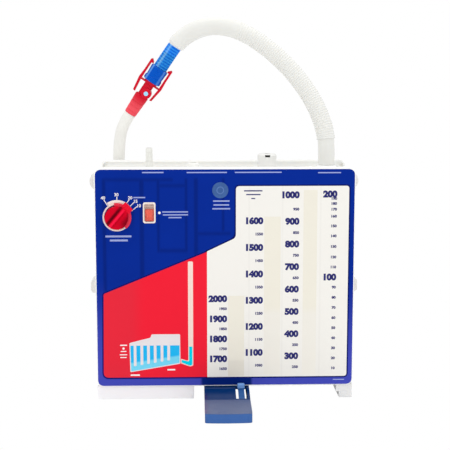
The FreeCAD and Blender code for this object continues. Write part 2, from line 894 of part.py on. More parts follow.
def injection_septum():
    """The self-sealing rubber plug in the injection port."""
    foot = injection_top - septum_depth
    profile = [
        (0, foot), (septum_radius, foot), (septum_radius, injection_top),
        (septum_radius * 0.6, injection_top + 0.6), (0, injection_top + 0.8),
    ]
    return turned(profile, (injection_x, fitting_y, 0))


def relief_valve_housing():
    """The round housing of the relief valve, with vent slots and a hole for its button."""
    floor, _, _, _ = relief_levels()
    roof = relief_top - relief_wall
    profile = [
        (relief_radius - relief_wall - 2, deck), (relief_radius + 1.2, deck),
        (relief_radius + 1.2, floor), (relief_radius, floor + 1),
        (relief_radius, relief_top - 1.6), (relief_radius - 1.6, relief_top),
        (relief_button_radius + running_fit, relief_top), (relief_button_radius + running_fit, roof),
        (relief_radius - relief_wall, roof), (relief_radius - relief_wall, floor),
        (relief_radius - relief_wall - 2, floor),
    ]
    housing = turned(profile, (relief_x, fitting_y, 0))
    for k in range(vent_slots):
        slot = block(
            relief_x + relief_radius - 2 * relief_wall, relief_x + relief_radius + 2,
            fitting_y - vent_slot_width / 2, fitting_y + vent_slot_width / 2, deck + 5, deck + 9,
        )
        slot.rotate(vec(relief_x, fitting_y, 0), vec(0, 0, 1), 360 * (k + 0.5) / vent_slots)
        housing = housing.cut(slot)
    top = relief_top - relief_slot_from_top
    eye = block(
        relief_x - relief_slot_width / 2, relief_x + relief_slot_width / 2,
        fitting_y - relief_radius - 1, fitting_y - relief_radius + relief_wall,
        top - relief_slot_height, top,
    )
    return housing.cut(eye)


def relief_levels():
    """Heights in the relief valve: floor, top of the filter, underside and top of the flange."""
    floor = deck + relief_floor
    filter_top = floor + relief_filter_height
    flange_top = relief_top - relief_wall - part_gap
    return floor, filter_top, flange_top - 1.5, flange_top


def relief_button():
    """The button that vents excess suction while it is pressed."""
    _, _, flange_foot, flange_top = relief_levels()
    shaft = rod(relief_x, fitting_y, flange_foot, relief_top - 0.5, relief_button_radius)
    flange = rod(relief_x, fitting_y, flange_foot, flange_top, relief_button_flange)
    return fuse(shaft, flange)


def relief_spring():
    """The bellows spring under the relief button."""
    _, filter_top, flange_foot, _ = relief_levels()
    folds = 3
    rise = (flange_foot - part_gap - filter_top) / (2 * folds)
    wide = relief_button_flange - 0.6
    narrow = wide - 1.6
    outside = []
    inside = []
    for k in range(2 * folds + 1):
        radius = wide if k % 2 == 0 else narrow
        outside.append((radius, filter_top + k * rise))
        inside.append((radius - 0.7, filter_top + k * rise))
    return turned(outside + inside[::-1], (relief_x, fitting_y, 0))


def relief_filter():
    """The felt ring that filters the air of the relief valve."""
    floor, filter_top, _, _ = relief_levels()
    outer = relief_radius - relief_wall
    profile = [(3.0, floor), (outer, floor), (outer, filter_top), (3.0, filter_top)]
    return turned(profile, (relief_x, fitting_y, 0))


def positive_relief_valve():
    """The umbrella valve that lets positive pressure out through the deck."""
    r = positive_valve_radius
    h = positive_valve_height
    profile = [
        (0, deck - wall - 1), (r / 2, deck - wall - 1), (r / 2, deck), (r, deck), (r, deck + 1),
        (r * 0.8, deck + h * 0.6), (r * 0.4, deck + h), (0, deck + h),
    ]
    return turned(profile, (positive_valve_x, fitting_y, 0))


def patient_port():
    """The collar on the deck that the patient's hose is joined to."""
    profile = [
        (patient_port_bore, deck), (patient_port_radius + 2, deck), (patient_port_radius + 2, deck + 2),
        (patient_port_radius, deck + 3), (patient_port_radius, patient_port_top - 1),
        (patient_port_radius - 1, patient_port_top), (patient_port_bore, patient_port_top),
    ]
    return turned(profile, (patient_port_x, fitting_y, 0))


def stand_outline(inset, foot):
    """The stand's side view, as (distance ahead of the pivot, height) points."""
    reach = pivot_y - nose_y
    ramp_foot = pivot_y - ramp_foot_y
    ramp_top = pivot_y - ramp_top_y
    return [
        (0, foot), (reach - inset, foot), (reach - inset, stand_lip_height - inset),
        (ramp_foot + inset * 0.1, stand_lip_height - inset), (ramp_top, stand_top - inset),
        (0, stand_top - inset),
    ]


def stand_shell(inset, foot):
    """The stand's outer block, or its hollow, with the front edge bowed and the rear round."""
    half = stand_half_width - inset
    side = [(pivot_y - ahead, height) for ahead, height in stand_outline(inset, foot)]
    body = prism(side, "yz", stand_x - half, stand_x + half)
    heel = rod(stand_x, pivot_y, foot, stand_top - inset, half)
    return body.fuse(heel)


def stand_slots():
    """Limits of the opening that frees the latch tongue: x, x, y, y."""
    x0 = stand_x + tongue_offset - tongue_width / 2 - tongue_slot
    x1 = stand_x + tongue_offset + tongue_width / 2 + tongue_slot
    y0 = ramp_foot_y + tongue_from_ramp_foot
    return x0, x1, y0, y0 + tongue_length + tongue_end_slot


def ramp_height(y):
    """Height of the stand's top surface at y on its ramp."""
    share = min(max((y - ramp_foot_y) / stand_ramp_length, 0), 1)
    return stand_lip_height + share * (stand_top - stand_lip_height)


def floor_stand():
    """The swing-out floor stand: a ribbed shell that pivots under the case."""
    shell = stand_shell(0, 0)
    bow_radius = (stand_half_width ** 2 + stand_front_bow ** 2) / (2 * stand_front_bow)
    rounding = Part.makeCylinder(bow_radius, stand_top + 2, vec(stand_x, nose_y + bow_radius, -1))
    ahead = block(
        stand_x - 2 * stand_half_width, stand_x + 2 * stand_half_width,
        nose_y - 1, nose_y + 2 * stand_front_bow, -1, stand_top + 1,
    )
    shell = shell.cut(ahead.cut(rounding))
    upright = [
        e for e in shell.Edges
        if abs(e.tangentAt(e.FirstParameter).z) > 0.99 and e.CenterOfMass.y < nose_y + stand_corner_depth
        and abs(e.CenterOfMass.x - stand_x) > stand_half_width - 3
    ]
    shell = shell.makeFillet(stand_corner, upright)
    hollow = stand_shell(stand_wall, -1)
    hollow = hollow.cut(rod(stand_x, pivot_y, -2, stand_top, pin_head_radius + 2 * stand_wall))
    x0, x1, y0, y1 = stand_slots()
    hollow = hollow.cut(block(
        x0 - stand_wall, x1 + stand_wall, y0 - stand_wall, y1, -2, stand_top,
    ))
    shell = shell.cut(hollow)
    shell = shell.cut(block(x0, x1, y0, y1, -1, stand_top + 1))
    length = stand_reach + stand_pivot_from_front - pin_head_radius * 2
    for k in range(1, stand_rib_count + 1):
        y = nose_y + length * k / (stand_rib_count + 1)
        top = ramp_height(y) - stand_wall / 2
        rib = block(
            stand_x - stand_half_width + stand_wall / 2, min(x0, stand_x + stand_half_width),
            y - stand_rib_thickness / 2, y + stand_rib_thickness / 2, 1.0, top,
        )
        shell = shell.fuse(rib)
    spine = block(
        stand_x - stand_rib_thickness / 2, stand_x + stand_rib_thickness / 2,
        nose_y + stand_wall, pivot_y - pin_head_radius - stand_wall, 1.0, stand_lip_height - stand_wall / 2,
    )
    shell = shell.fuse(spine)
    head_room = rod(stand_x, pivot_y, -1, pin_recess + pin_head_height, pin_head_radius + part_gap)
    pin_bore = rod(stand_x, pivot_y, 0, stand_top + 1, pin_radius + running_fit)
    return shell.cut(head_room).cut(pin_bore).removeSplitter()


def stand_latch():
    """The springy latch tongue of the stand, with its finger knob at the face's foot."""
    _, _, y0, y1 = stand_slots()
    x0 = stand_x + tongue_offset - tongue_width / 2
    x1 = x0 + tongue_width
    tip = y1 - tongue_end_slot
    side = [
        (y0, ramp_height(y0) - tongue_thickness), (tip, ramp_height(tip) - tongue_thickness),
        (tip, ramp_height(tip)), (y0, ramp_height(y0)),
    ]
    tongue = prism(side, "yz", x0, x1)
    knob_back = y1 - part_gap
    knob_x = stand_x + tongue_offset
    knob = block(
        knob_x - knob_block_width / 2, knob_x + knob_block_width / 2,
        knob_back - knob_block_length, knob_back, ramp_height(tip) - 1, knob_block_top,
    )
    top_edges = [
        e for e in knob.Edges
        if e.CenterOfMass.z > knob_block_top - 0.1 or abs(e.tangentAt(e.FirstParameter).z) > 0.99
    ]
    return fuse(tongue, knob.makeFillet(1.3, top_edges))


def stand_pin():
    """The shouldered pin that the stand turns on."""
    seat = pin_recess + pin_head_height - washer_thickness
    top = belly + wall + pin_length_in_case - wall
    profile = [
        (0, 0.6), (pin_head_radius - 1.2, 0.6), (pin_head_radius - 0.2, 1.4), (pin_head_radius - 0.2, seat),
        (pin_radius, seat), (pin_radius, top - 0.8), (pin_radius - 0.8, top), (0, top),
    ]
    return turned(profile, (stand_x, pivot_y, 0))


def stand_washer():
    """The washer between the pin's head and the stand."""
    seat = pin_recess + pin_head_height - washer_thickness
    outer = pin_head_radius - 0.2
    top = seat + washer_thickness - running_fit
    profile = [(pin_radius, seat), (outer, seat), (outer, top), (pin_radius, top)]
    return turned(profile, (stand_x, pivot_y, 0))


def hanger_side_view():
    """The hanger's arm and hook seen from the side, as one face in the YZ plane."""
    hook_mid = middle - 1.0
    inner = hook_gap / 2
    outer = inner + hook_limb
    bend_z = hanger_foot_z + outer
    half = hanger_width / 2
    arm = Part.makePolygon([
        vec(0, middle - half + 1, hanger_pivot_z), vec(0, middle + half - 1, hanger_pivot_z),
        vec(0, middle + half - 2, hook_jog_top), vec(0, hook_mid - inner, hook_jog_bottom),
        vec(0, hook_mid - inner, bend_z), vec(0, hook_mid - outer, bend_z),
        vec(0, hook_mid - outer, hook_jog_bottom + 4), vec(0, middle - half + 2, hook_jog_top + 4),
        vec(0, middle - half + 1, hanger_pivot_z),
    ])
    bend = Part.Wire([
        Part.Arc(
            vec(0, hook_mid - outer, bend_z), vec(0, hook_mid, bend_z - outer),
            vec(0, hook_mid + outer, bend_z),
        ).toShape(),
        Part.LineSegment(
            vec(0, hook_mid + outer, bend_z), vec(0, hook_mid + outer, bend_z + hook_tip_height),
        ).toShape(),
        Part.Arc(
            vec(0, hook_mid + outer, bend_z + hook_tip_height),
            vec(0, hook_mid + outer - hook_limb / 2, bend_z + hook_tip_height + hook_limb / 2),
            vec(0, hook_mid + inner, bend_z + hook_tip_height),
        ).toShape(),
        Part.LineSegment(
            vec(0, hook_mid + inner, bend_z + hook_tip_height), vec(0, hook_mid + inner, bend_z),
        ).toShape(),
        Part.Arc(
            vec(0, hook_mid + inner, bend_z), vec(0, hook_mid, bend_z - inner),
            vec(0, hook_mid - inner, bend_z),
        ).toShape(),
        Part.LineSegment(vec(0, hook_mid - inner, bend_z), vec(0, hook_mid - outer, bend_z)).toShape(),
    ])
    return Part.Face(arm), Part.Face(bend)


def hanger(side):
    """A hanger: hub, arm, hook and thumb pad; side is -1 on the left and 1 on the right."""
    inner_x = hanger_pivot_x - hanger_thickness / 2
    faces = hanger_side_view()
    reach = vec(side * hanger_thickness, 0, 0)
    solids = []
    for face in faces:
        moved = face.copy()
        moved.translate(vec(side * inner_x, 0, 0))
        solids.append(moved.extrude(reach))
    hub = rod_y(
        side * hanger_pivot_x, hanger_pivot_z, middle - hanger_width / 2, middle + hanger_width / 2,
        hanger_hub_radius,
    )
    x0, x1 = sorted((side * (hanger_pivot_x + hanger_thickness / 2 - 0.5), side * thumb_pad_reach))
    pad = block(
        x0, x1, middle - thumb_pad_width / 2, middle + thumb_pad_width / 2,
        hanger_foot_z, hanger_foot_z + thumb_pad_height,
    )
    outer_edges = [
        e for e in pad.Edges
        if abs(e.tangentAt(e.FirstParameter).y) > 0.99 and abs(e.CenterOfMass.x) > thumb_pad_reach - 0.1
    ]
    pad = pad.makeFillet(4.0, outer_edges)
    whole = fuse(*solids, hub, pad)
    bore = rod_y(
        side * hanger_pivot_x, hanger_pivot_z, middle - hanger_width, middle + hanger_width,
        hanger_pin_radius + running_fit,
    )
    return whole.cut(bore)


def hanger_pin(side):
    """The pin that a hanger turns on, held in the case's two ears."""
    half = hanger_width / 2 + ear_gap + ear_thickness
    profile = [
        (0, -half), (hanger_pin_radius, -half), (hanger_pin_radius, half),
        (hanger_pin_head_radius, half), (hanger_pin_head_radius - 0.5, half + hanger_pin_head),
        (0, half + hanger_pin_head),
    ]
    return turned(profile, (side * hanger_pivot_x, middle, hanger_pivot_z), vec(0, 1, 0))


def from_face(point):
    """A point given with its distance behind the face, in the unit's own frame."""
    return vec(point[0], front + point[1], point[2])


def connector_placement():
    """Puts a piece drawn upright, with its front towards -Y, on the connector's axis."""
    foot = from_face(connector_foot)
    axis = (from_face(connector_head) - foot).normalize()
    right = vec(0, 1, 0).cross(axis).normalize()
    away = axis.cross(right)
    turn = FreeCAD.Rotation(right, away, axis, "ZXY")
    return FreeCAD.Placement(foot, turn)


def connector_axis():
    """Direction from the plain tube's end to the corrugated hose's end."""
    return (from_face(connector_head) - from_face(connector_foot)).normalize()


def connector_length():
    """Distance from the plain tube's end to the corrugated hose's end."""
    return (from_face(connector_head) - from_face(connector_foot)).Length


def connector_socket():
    """The blue half: a tapered body with grips below and a long barb up into the hose."""
    top = connector_length()
    barbs = 4
    pitch = (top - socket_top - 1.0) / barbs
    profile = [
        (0, socket_foot), (socket_foot_radius - 0.8, socket_foot), (socket_foot_radius, socket_foot + 0.8),
        (socket_foot_radius, socket_foot + 5), (socket_foot_radius - 0.9, socket_foot + 6),
        (socket_top_radius, socket_top - 1), (socket_top_radius - 1, socket_top),
    ]
    for k in range(barbs):
        foot = socket_top + k * pitch
        profile.append((socket_barb_radius - 0.9, foot))
        profile.append((socket_barb_radius - 0.9, foot + pitch * 0.35))
        profile.append((socket_barb_radius, foot + pitch * 0.4))
    profile.append((socket_barb_radius - 1.2, top))
    profile.append((0, top))
    body = turned(profile, (0, 0, 0))
    for k in range(10):
        groove = block(
            socket_foot_radius - 0.7, socket_foot_radius + 1, -0.7, 0.7, socket_foot + 7, socket_top - 3,
        )
        groove.rotate(vec(0, 0, 0), vec(0, 0, 1), 36 * k + 18)
        body = body.cut(groove)
    return placed(body, connector_placement())


def connector_plug():
    """The red half: tapered sleeve, neck, sample port ring and the two latch arms."""
    profile = [
        (0, 0), (sleeve_foot_radius - 0.6, 0), (sleeve_foot_radius, 1),
        (sleeve_top_radius, sleeve_length - 2),
        (sleeve_top_radius - 0.8, sleeve_length - 0.6), (red_neck_radius, sleeve_length),
        (red_neck_radius, socket_foot - 4), (red_neck_radius + 2.2, socket_foot - 3.5),
        (red_neck_radius + 2.2, socket_foot), (0, socket_foot),
    ]
    body = turned(profile, (0, 0, 0))
    for k in range(3):
        foot = 4 + 6.5 * k
        radius = sleeve_foot_radius + (sleeve_top_radius - sleeve_foot_radius) * foot / sleeve_length
        ring = Part.makeCylinder(radius + 2, 1.0, vec(0, 0, foot)).cut(
            Part.makeCylinder(radius - 0.45, 3, vec(0, 0, foot - 1))
        )
        body = body.cut(ring)
    port_reach = red_neck_radius + 4.0
    port = Part.makeCylinder(
        sample_port_radius, port_reach, vec(sample_port_offset, 0, sample_port_height), vec(0, -1, 0),
    )
    hole = Part.makeCylinder(
        sample_plug_radius, 4.0, vec(sample_port_offset, -port_reach - 1, sample_port_height), vec(0, 1, 0),
    )
    body = fuse(body, port).cut(hole)
    half = latch_arm_width / 2
    for side in (-1, 1):
        arm = prism([(side * a, b) for a, b in latch_arm_outline()], "xz", -half, half)
        body = body.fuse(arm)
    return placed(body.removeSplitter(), connector_placement())


def latch_arm_outline():
    """A latch arm's side view, as (distance from the axis, height) points."""
    inner = socket_foot_radius + latch_arm_gap
    outer = inner + latch_arm_thickness
    hook = socket_top_radius - latch_hook_bite
    web_top = socket_foot - latch_web_thickness - part_gap
    web_foot = web_top - latch_web_thickness
    tip = socket_top + latch_hook_height
    return [
        (inner - latch_arm_lean, sleeve_length - 1), (outer - latch_arm_lean, sleeve_length - 0.4),
        (outer + latch_arm_bulge, web_top), (outer, (web_top + socket_top) / 2),
        (outer, tip - 1.5), (outer - 1.5, tip), (inner, tip - 1), (hook, socket_top + 2),
        (hook, socket_top + part_gap), (inner, socket_top + part_gap), (inner, web_top),
        (red_neck_radius - 1, web_top), (red_neck_radius - 1, web_foot), (inner, web_foot),
    ]


def sample_port_plug():
    """The light blue septum in the connector's sample port."""
    reach = red_neck_radius + 4.0
    plug = Part.makeCylinder(
        sample_plug_radius, 3.4, vec(sample_port_offset, -reach - 0.4, sample_port_height), vec(0, 1, 0),
    )
    return placed(plug, connector_placement())


def smooth_path(points, label):
    """Straight runs joined by tangent arcs, each as large as its two runs allow."""
    edges = []
    start = points[0]
    radii = []
    for before, corner, after in zip(points, points[1:], points[2:]):
        into = corner - before
        out = after - corner
        turn = into.getAngle(out)
        radius = 0.45 * min(into.Length, out.Length) / math.tan(turn / 2)
        cut_back = radius * math.tan(turn / 2)
        into.normalize()
        out.normalize()
        first = corner - into * cut_back
        last = corner + out * cut_back
        inward = (out - into).normalize()
        nearest = corner + inward * (radius / math.cos(turn / 2) - radius)
        edges.append(Part.LineSegment(start, first).toShape())
        edges.append(Part.Arc(first, nearest, last).toShape())
        radii.append(radius)
        start = last
    edges.append(Part.LineSegment(start, points[-1]).toShape())
    print(f"{label}: radii {[round(r) for r in radii]} mm")
    return Part.Wire(edges)


def cord(points, radius, label):
    """A round tube along a route, with its volume set against its section times its length."""
    path = smooth_path(points, label)
    section = Part.Wire(Part.makeCircle(radius, points[0], points[1] - points[0]))
    solid = path.makePipeShell([section], True, False)
    expected = math.pi * radius ** 2 * path.Length
    share = solid.Volume / expected
    print(f"{label}: length {path.Length:.0f} mm, volume over section times length {share:.4f}")
    return solid


def patient_hose():
    """The corrugated hose from the patient port to the connector."""
    head = from_face(connector_head)
    points = [from_face(point) for point in hose_route]
    return cord(points + [head + connector_axis() * hose_lead, head], hose_radius, "patient_hose")


def patient_tube():
    """The plain tube from the connector down behind the case to its coil."""
    foot = from_face(connector_foot)
    points = [foot, foot - connector_axis() * tube_lead] + [from_face(point) for point in tube_route]
    end = vec(coil_centre[0], coil_centre[1] - coil_radius, tube_radius)
    return cord(points + [end], tube_radius, "patient_tube")


def coil_layer(level, open_from):
    """One layer of the coil: a ring of rounded section with a gap that starts at an angle."""
    side = tube_radius
    bevel = side * 0.35
    low = 2 * side * level
    profile = [
        (coil_radius - side, low + bevel), (coil_radius - side, low + 2 * side - bevel),
        (coil_radius - side + bevel, low + 2 * side), (coil_radius + side - bevel, low + 2 * side),
        (coil_radius + side, low + 2 * side - bevel), (coil_radius + side, low + bevel),
        (coil_radius + side - bevel, low), (coil_radius - side + bevel, low),
    ]
    points = [vec(r, 0, h) for r, h in profile]
    section = Part.Face(Part.makePolygon(points + points[:1]))
    ring = section.revolve(vec(0, 0, 0), vec(0, 0, 1), 360 - coil_open_angle)
    ring.rotate(vec(0, 0, 0), vec(0, 0, 1), open_from + coil_open_angle)
    ring.translate(vec(coil_centre[0], coil_centre[1], 0))
    return ring


def tube_coil():
    """The tube's hidden length, wound in a round coil of two layers on the floor."""
    return fuse(
        coil_layer(0, coil_entry_angle - coil_open_angle),
        coil_layer(1, coil_exit_angle),
    )


def patient_connector():
    """The stepped fitting at the patient's end, lying on the coil."""
    r = end_fitting_radius
    grip = end_fitting_grip
    profile = [
        (end_fitting_bore, 0), (r, 0), (r, grip), (r + 1, grip + 0.5), (r + 1, grip + 3),
        (r - 1, grip + 3.5),
    ]
    start = grip + 3.5
    steps = 3
    for k in range(steps):
        low = start + k * (end_fitting_length - start) / steps
        high = start + (k + 1) * (end_fitting_length - start) / steps
        wide = r - 0.5 - k * (r - end_fitting_tip_radius) / steps
        profile.append((wide, low + 0.5))
        profile.append((wide - 0.6, high))
    profile.append((end_fitting_bore, end_fitting_length))
    end_angle = math.radians(coil_exit_angle)
    foot = (
        coil_centre[0] + coil_radius * math.cos(end_angle),
        coil_centre[1] + coil_radius * math.sin(end_angle),
        3 * tube_radius,
    )
    away = vec(-math.sin(end_angle), math.cos(end_angle), 0)
    return turned(profile, foot, away)


def main():
    """Builds every sub-part and writes its file."""
    os.makedirs("parts", exist_ok=True)
    makers = (
        face_plate, chamber_body, rear_plate, dial_bezel, suction_dial, regulator_housing,
        regulator_spring, regulator_diaphragm, regulator_poppet, float_window, float_cage,
        suction_float, indicator_lens, indicator_cup, indicator_flag, seal_column, leak_meter_cell,
        leak_meter_water, seal_valve_seat, seal_valve_flap, suction_port, injection_port,
        injection_septum, relief_valve_housing, relief_button, relief_spring, relief_filter,
        positive_relief_valve, patient_port, floor_stand, stand_latch, stand_pin, stand_washer,
        patient_hose, connector_socket, connector_plug, sample_port_plug, patient_tube, tube_coil,
        patient_connector,
    )
    for maker in makers:
        save(maker.__name__, maker())
    for name, side in (("left", -1), ("right", 1)):
        save("hanger_" + name, hanger(side))
        save("hanger_pin_" + name, hanger_pin(side))


main()
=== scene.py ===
import logging
import math
from dataclasses import dataclass
from enum import Enum
from functools import reduce
from typing import Callable, Iterable, Sequence, Union

import bmesh
import bpy
from mathutils import Matrix, Vector


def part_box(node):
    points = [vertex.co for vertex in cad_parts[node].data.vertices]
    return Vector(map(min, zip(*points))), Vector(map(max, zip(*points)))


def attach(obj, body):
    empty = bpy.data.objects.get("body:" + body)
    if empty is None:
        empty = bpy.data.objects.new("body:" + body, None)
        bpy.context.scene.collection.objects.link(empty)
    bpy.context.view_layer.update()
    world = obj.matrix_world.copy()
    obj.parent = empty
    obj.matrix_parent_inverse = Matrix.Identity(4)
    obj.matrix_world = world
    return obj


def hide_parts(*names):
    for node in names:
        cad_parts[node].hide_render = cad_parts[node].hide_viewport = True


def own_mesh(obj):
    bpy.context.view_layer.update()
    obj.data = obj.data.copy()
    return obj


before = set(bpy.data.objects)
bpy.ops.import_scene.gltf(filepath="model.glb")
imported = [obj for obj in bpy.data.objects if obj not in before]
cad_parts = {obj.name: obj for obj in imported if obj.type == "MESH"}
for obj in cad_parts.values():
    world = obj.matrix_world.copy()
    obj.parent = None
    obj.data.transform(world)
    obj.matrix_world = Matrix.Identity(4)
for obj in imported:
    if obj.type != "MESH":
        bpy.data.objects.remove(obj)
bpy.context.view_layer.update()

LOG = logging.getLogger("drainage_unit")
MM = 0.001
Number = Union[int, float]
Colour = tuple[float, float, float]
Point2 = tuple[float, float]
Point3 = tuple[float, float, float]
Rect = tuple[float, float, float, float]
DIAL_CENTRE: Point2 = (-124.4, 217.4)
RIDGE_ANGLE = 50.0


def face_y() -> float:
    """Depth of the printed face's front surface, in metres."""
    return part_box("face_plate")[0][1]


def srgb(red: int, green: int, blue: int) -> Colour:
    """Turns a colour read as 0 to 255 on a screen into the linear values that shaders take."""
    def linear(value: int) -> float:
        """One channel of the colour, made linear."""
        share = value / 255
        return share / 12.92 if share <= 0.04045 else ((share + 0.055) / 1.055) ** 2.4
    return linear(red), linear(green), linear(blue)


def dimmed(colour: Colour, share: float) -> Colour:
    """A colour at a share of its brightness."""
    red, green, blue = (channel * share for channel in colour)
    return red, green, blue


class Body(Enum):
    """The rigid bodies of the frame that new pieces ride on."""

    CASE = "case"
    DIAL = "dial"
    FLOAT = "float"


class Value:
    """A number that varies over a surface, held as a node socket."""

    def __init__(self, nodes: "ShaderNodes", socket: bpy.types.NodeSocket) -> None:
        """Wraps a socket of a node tree."""
        self.nodes = nodes
        self.socket = socket

    def _math(self, operation: str, first: "Input", second: "Input" = 0.0) -> "Value":
        """Adds a Math node.

        Args:
            operation: The node's operation.
            first: Its first input.
            second: Its second input.

        Returns:
            The node's result.
        """
        node = self.nodes.add("ShaderNodeMath", {"operation": operation}, {0: first, 1: second})
        return Value(self.nodes, node.outputs[0])

    def __add__(self, other: "Input") -> "Value":
        """Sum."""
        return self._math("ADD", self, other)

    __radd__ = __add__

    def __sub__(self, other: "Input") -> "Value":
        """Difference."""
        return self._math("SUBTRACT", self, other)

    def __rsub__(self, other: "Input") -> "Value":
        """Difference, the other way round."""
        return self._math("SUBTRACT", other, self)

    def __mul__(self, other: "Input") -> "Value":
        """Product."""
        return self._math("MULTIPLY", self, other)

    __rmul__ = __mul__

    def __truediv__(self, other: "Input") -> "Value":
        """Quotient."""
        return self._math("DIVIDE", self, other)

    def above(self, edge: Number) -> "Value":
        """1 where the value is over an edge, and 0 elsewhere."""
        return self._math("GREATER_THAN", self, edge)

    def below(self, edge: Number) -> "Value":
        """1 where the value is under an edge, and 0 elsewhere."""
        return self._math("LESS_THAN", self, edge)

    def larger(self, other: "Value") -> "Value":
        """The larger of this value and another at each place."""
        return self._math("MAXIMUM", self, other)

    def wave(self, pitch: Number) -> "Value":
        """A sine wave along the value, from 0 to 1, that repeats at a pitch."""
        return self._math("SINE", self * (math.tau / pitch)) * 0.5 + 0.5

    def ramp(self, low: Number, high: Number) -> "Value":
        """Runs smoothly from 0 at low to 1 at high."""
        node = self.nodes.add(
            "ShaderNodeMapRange", {"interpolation_type": "SMOOTHSTEP"},
            {"Value": self, "From Min": low, "From Max": high},
        )
        return Value(self.nodes, node.outputs[0])

    def within(self, low: Number, high: Number, soft: Number) -> "Value":
        """A mask of a band with soft edges.

        Args:
            low: Where the band starts.
            high: Where it ends.
            soft: Half the width over which each edge fades.

        Returns:
            1 inside the band and 0 outside.
        """
        rise = self.ramp(low - soft, low + soft)
        fall = self.ramp(high - soft, high + soft)
        return rise * (1.0 - fall)


Input = Union[Value, Number, Colour, bpy.types.NodeSocket]


class ShaderNodes:
    """The node tree of one material, with short ways to add and join nodes."""

    def __init__(self, name: str) -> None:
        """Starts a material whose tree holds a Principled shader and its output."""
        self.material = bpy.data.materials.new(name)
        self.material.use_nodes = True
        self.tree = self.material.node_tree
        self.shader = self.tree.nodes["Principled BSDF"]
        self.output = self.tree.nodes["Material Output"]

    def add(self, kind: str, settings: dict, inputs: dict) -> bpy.types.Node:
        """Adds a node.

        Args:
            kind: The node's type.
            settings: Its properties, set first.
            inputs: Values or sockets for its inputs, by name or number.

        Returns:
            The new node.
        """
        node = self.tree.nodes.new(kind)
        for key, value in settings.items():
            setattr(node, key, value)
        for key, value in inputs.items():
            self.feed(node.inputs[key], value)
        return node

    def feed(self, socket: bpy.types.NodeSocket, value: Input) -> None:
        """Gives a socket a value, or joins another socket to it.

        Args:
            socket: The input.
            value: The number, colour or output for it.
        """
        if isinstance(value, Value):
            value = value.socket
        if isinstance(value, bpy.types.NodeSocket):
            self.tree.links.new(value, socket)
        elif isinstance(value, tuple) and len(value) == 3 and len(socket.default_value) == 4:
            socket.default_value = (*value, 1.0)
        else:
            socket.default_value = value

    def set(self, **values: Input) -> None:
        """Feeds the Principled shader's sockets, given with underscores for spaces."""
        for key, value in values.items():
            self.feed(self.shader.inputs[key.replace("_", " ")], value)

    def coordinates(self) -> tuple[Value, Value, Value]:
        """The Object coordinates across, back and up, in millimetres."""
        place = self.add("ShaderNodeTexCoord", {}, {}).outputs["Object"]
        parts = self.add("ShaderNodeSeparateXYZ", {}, {0: place})
        x, y, z = (Value(self, parts.outputs[k]) / MM for k in range(3))
        return x, y, z

    def noise(self, scale: Number, detail: Number, stretch: Point3 = (1.0, 1.0, 1.0)) -> Value:
        """Noise on Object coordinates.

        Args:
            scale: Features per metre.
            detail: Number of finer layers.
            stretch: Scale along each axis.

        Returns:
            The noise, from 0 to 1.
        """
        place = self.add("ShaderNodeTexCoord", {}, {}).outputs["Object"]
        mapping = self.add("ShaderNodeMapping", {}, {"Vector": place, "Scale": stretch})
        node = self.add(
            "ShaderNodeTexNoise", {},
            {"Vector": mapping.outputs[0], "Scale": scale, "Detail": detail},
        )
        return Value(self, node.outputs["Fac"])

    def mix(self, share: Input, first: Input, second: Input) -> bpy.types.NodeSocket:
        """Mixes two colours.

        Args:
            share: How much of the second colour shows, from 0 to 1.
            first: The first colour.
            second: The second colour.

        Returns:
            The mixed colour's socket.
        """
        node = self.add("ShaderNodeMix", {"data_type": "RGBA"}, {})
        sockets = [s for s in node.inputs if s.enabled]
        for socket, value in zip(sockets, (share, first, second)):
            self.feed(socket, value)
        return next(s for s in node.outputs if s.enabled)

    def bump(self, height: Input, strength: Number, distance: Number) -> None:
        """Gives the shader a bump.

        Args:
            height: The height map.
            strength: How much of it shows.
            distance: Height of the map's full range, in metres.
        """
        node = self.add(
            "ShaderNodeBump", {}, {"Height": height, "Strength": strength, "Distance": distance},
        )
        self.set(Normal=node.outputs[0])


@dataclass(frozen=True)
class Surface:
    """How rough, how shiny and how finely grained a finish is."""

    roughness: float
    spread: float = 0.1
    specular: float = 0.5
    grain_scale: float = 900.0
    grain: float = 0.05
    grain_depth: float = 0.0001

    def dress(
        self, nodes: ShaderNodes, colour: Input, cloud: Value, height: Union[Value, None] = None,
    ) -> bpy.types.Material:
        """Joins a colour and this surface to a material's shader.

        Args:
            nodes: The material's nodes.
            colour: Its colour.
            cloud: The cloud that makes it rougher here and there.
            height: Its bump, or None for the fine grain.

        Returns:
            The finished material.
        """
        if height is None:
            height = nodes.noise(self.grain_scale, 2.0)
        nodes.set(
            Base_Color=colour, Specular_IOR_Level=self.specular,
            Roughness=self.roughness + (cloud - 0.5) * self.spread,
        )
        nodes.bump(height, self.grain, self.grain_depth)
        return nodes.material


PRINTED_GRAIN = {"grain_scale": 700.0, "grain": 0.06}


@dataclass(frozen=True)
class Moulding:
    """A moulded plastic or rubber finish, with faint flow marks and a fine grain."""

    name: str
    colour: Colour
    roughness: float
    specular: float = 0.35
    mottle: float = 0.06
    mottle_scale: float = 60.0
    grain: float = 0.12
    alpha: float = 1.0
    glow: float = 0.0

    def material(self) -> bpy.types.Material:
        """Builds the finish."""
        nodes = ShaderNodes(self.name)
        flow = nodes.noise(self.mottle_scale, 4.0)
        lift = 0.02 * self.mottle
        light = tuple(min(1.0, c * (1 + self.mottle) + lift) for c in self.colour)
        # glow makes the finish give off light by itself, as painted light.
        nodes.set(Alpha=self.alpha, Emission_Color=self.colour, Emission_Strength=self.glow)
        surface = Surface(
            self.roughness, 0.12, self.specular, grain=self.grain, grain_depth=0.0002,
        )
        colour = nodes.mix(flow, dimmed(self.colour, 1 - self.mottle), light)
        return surface.dress(nodes, colour, flow)


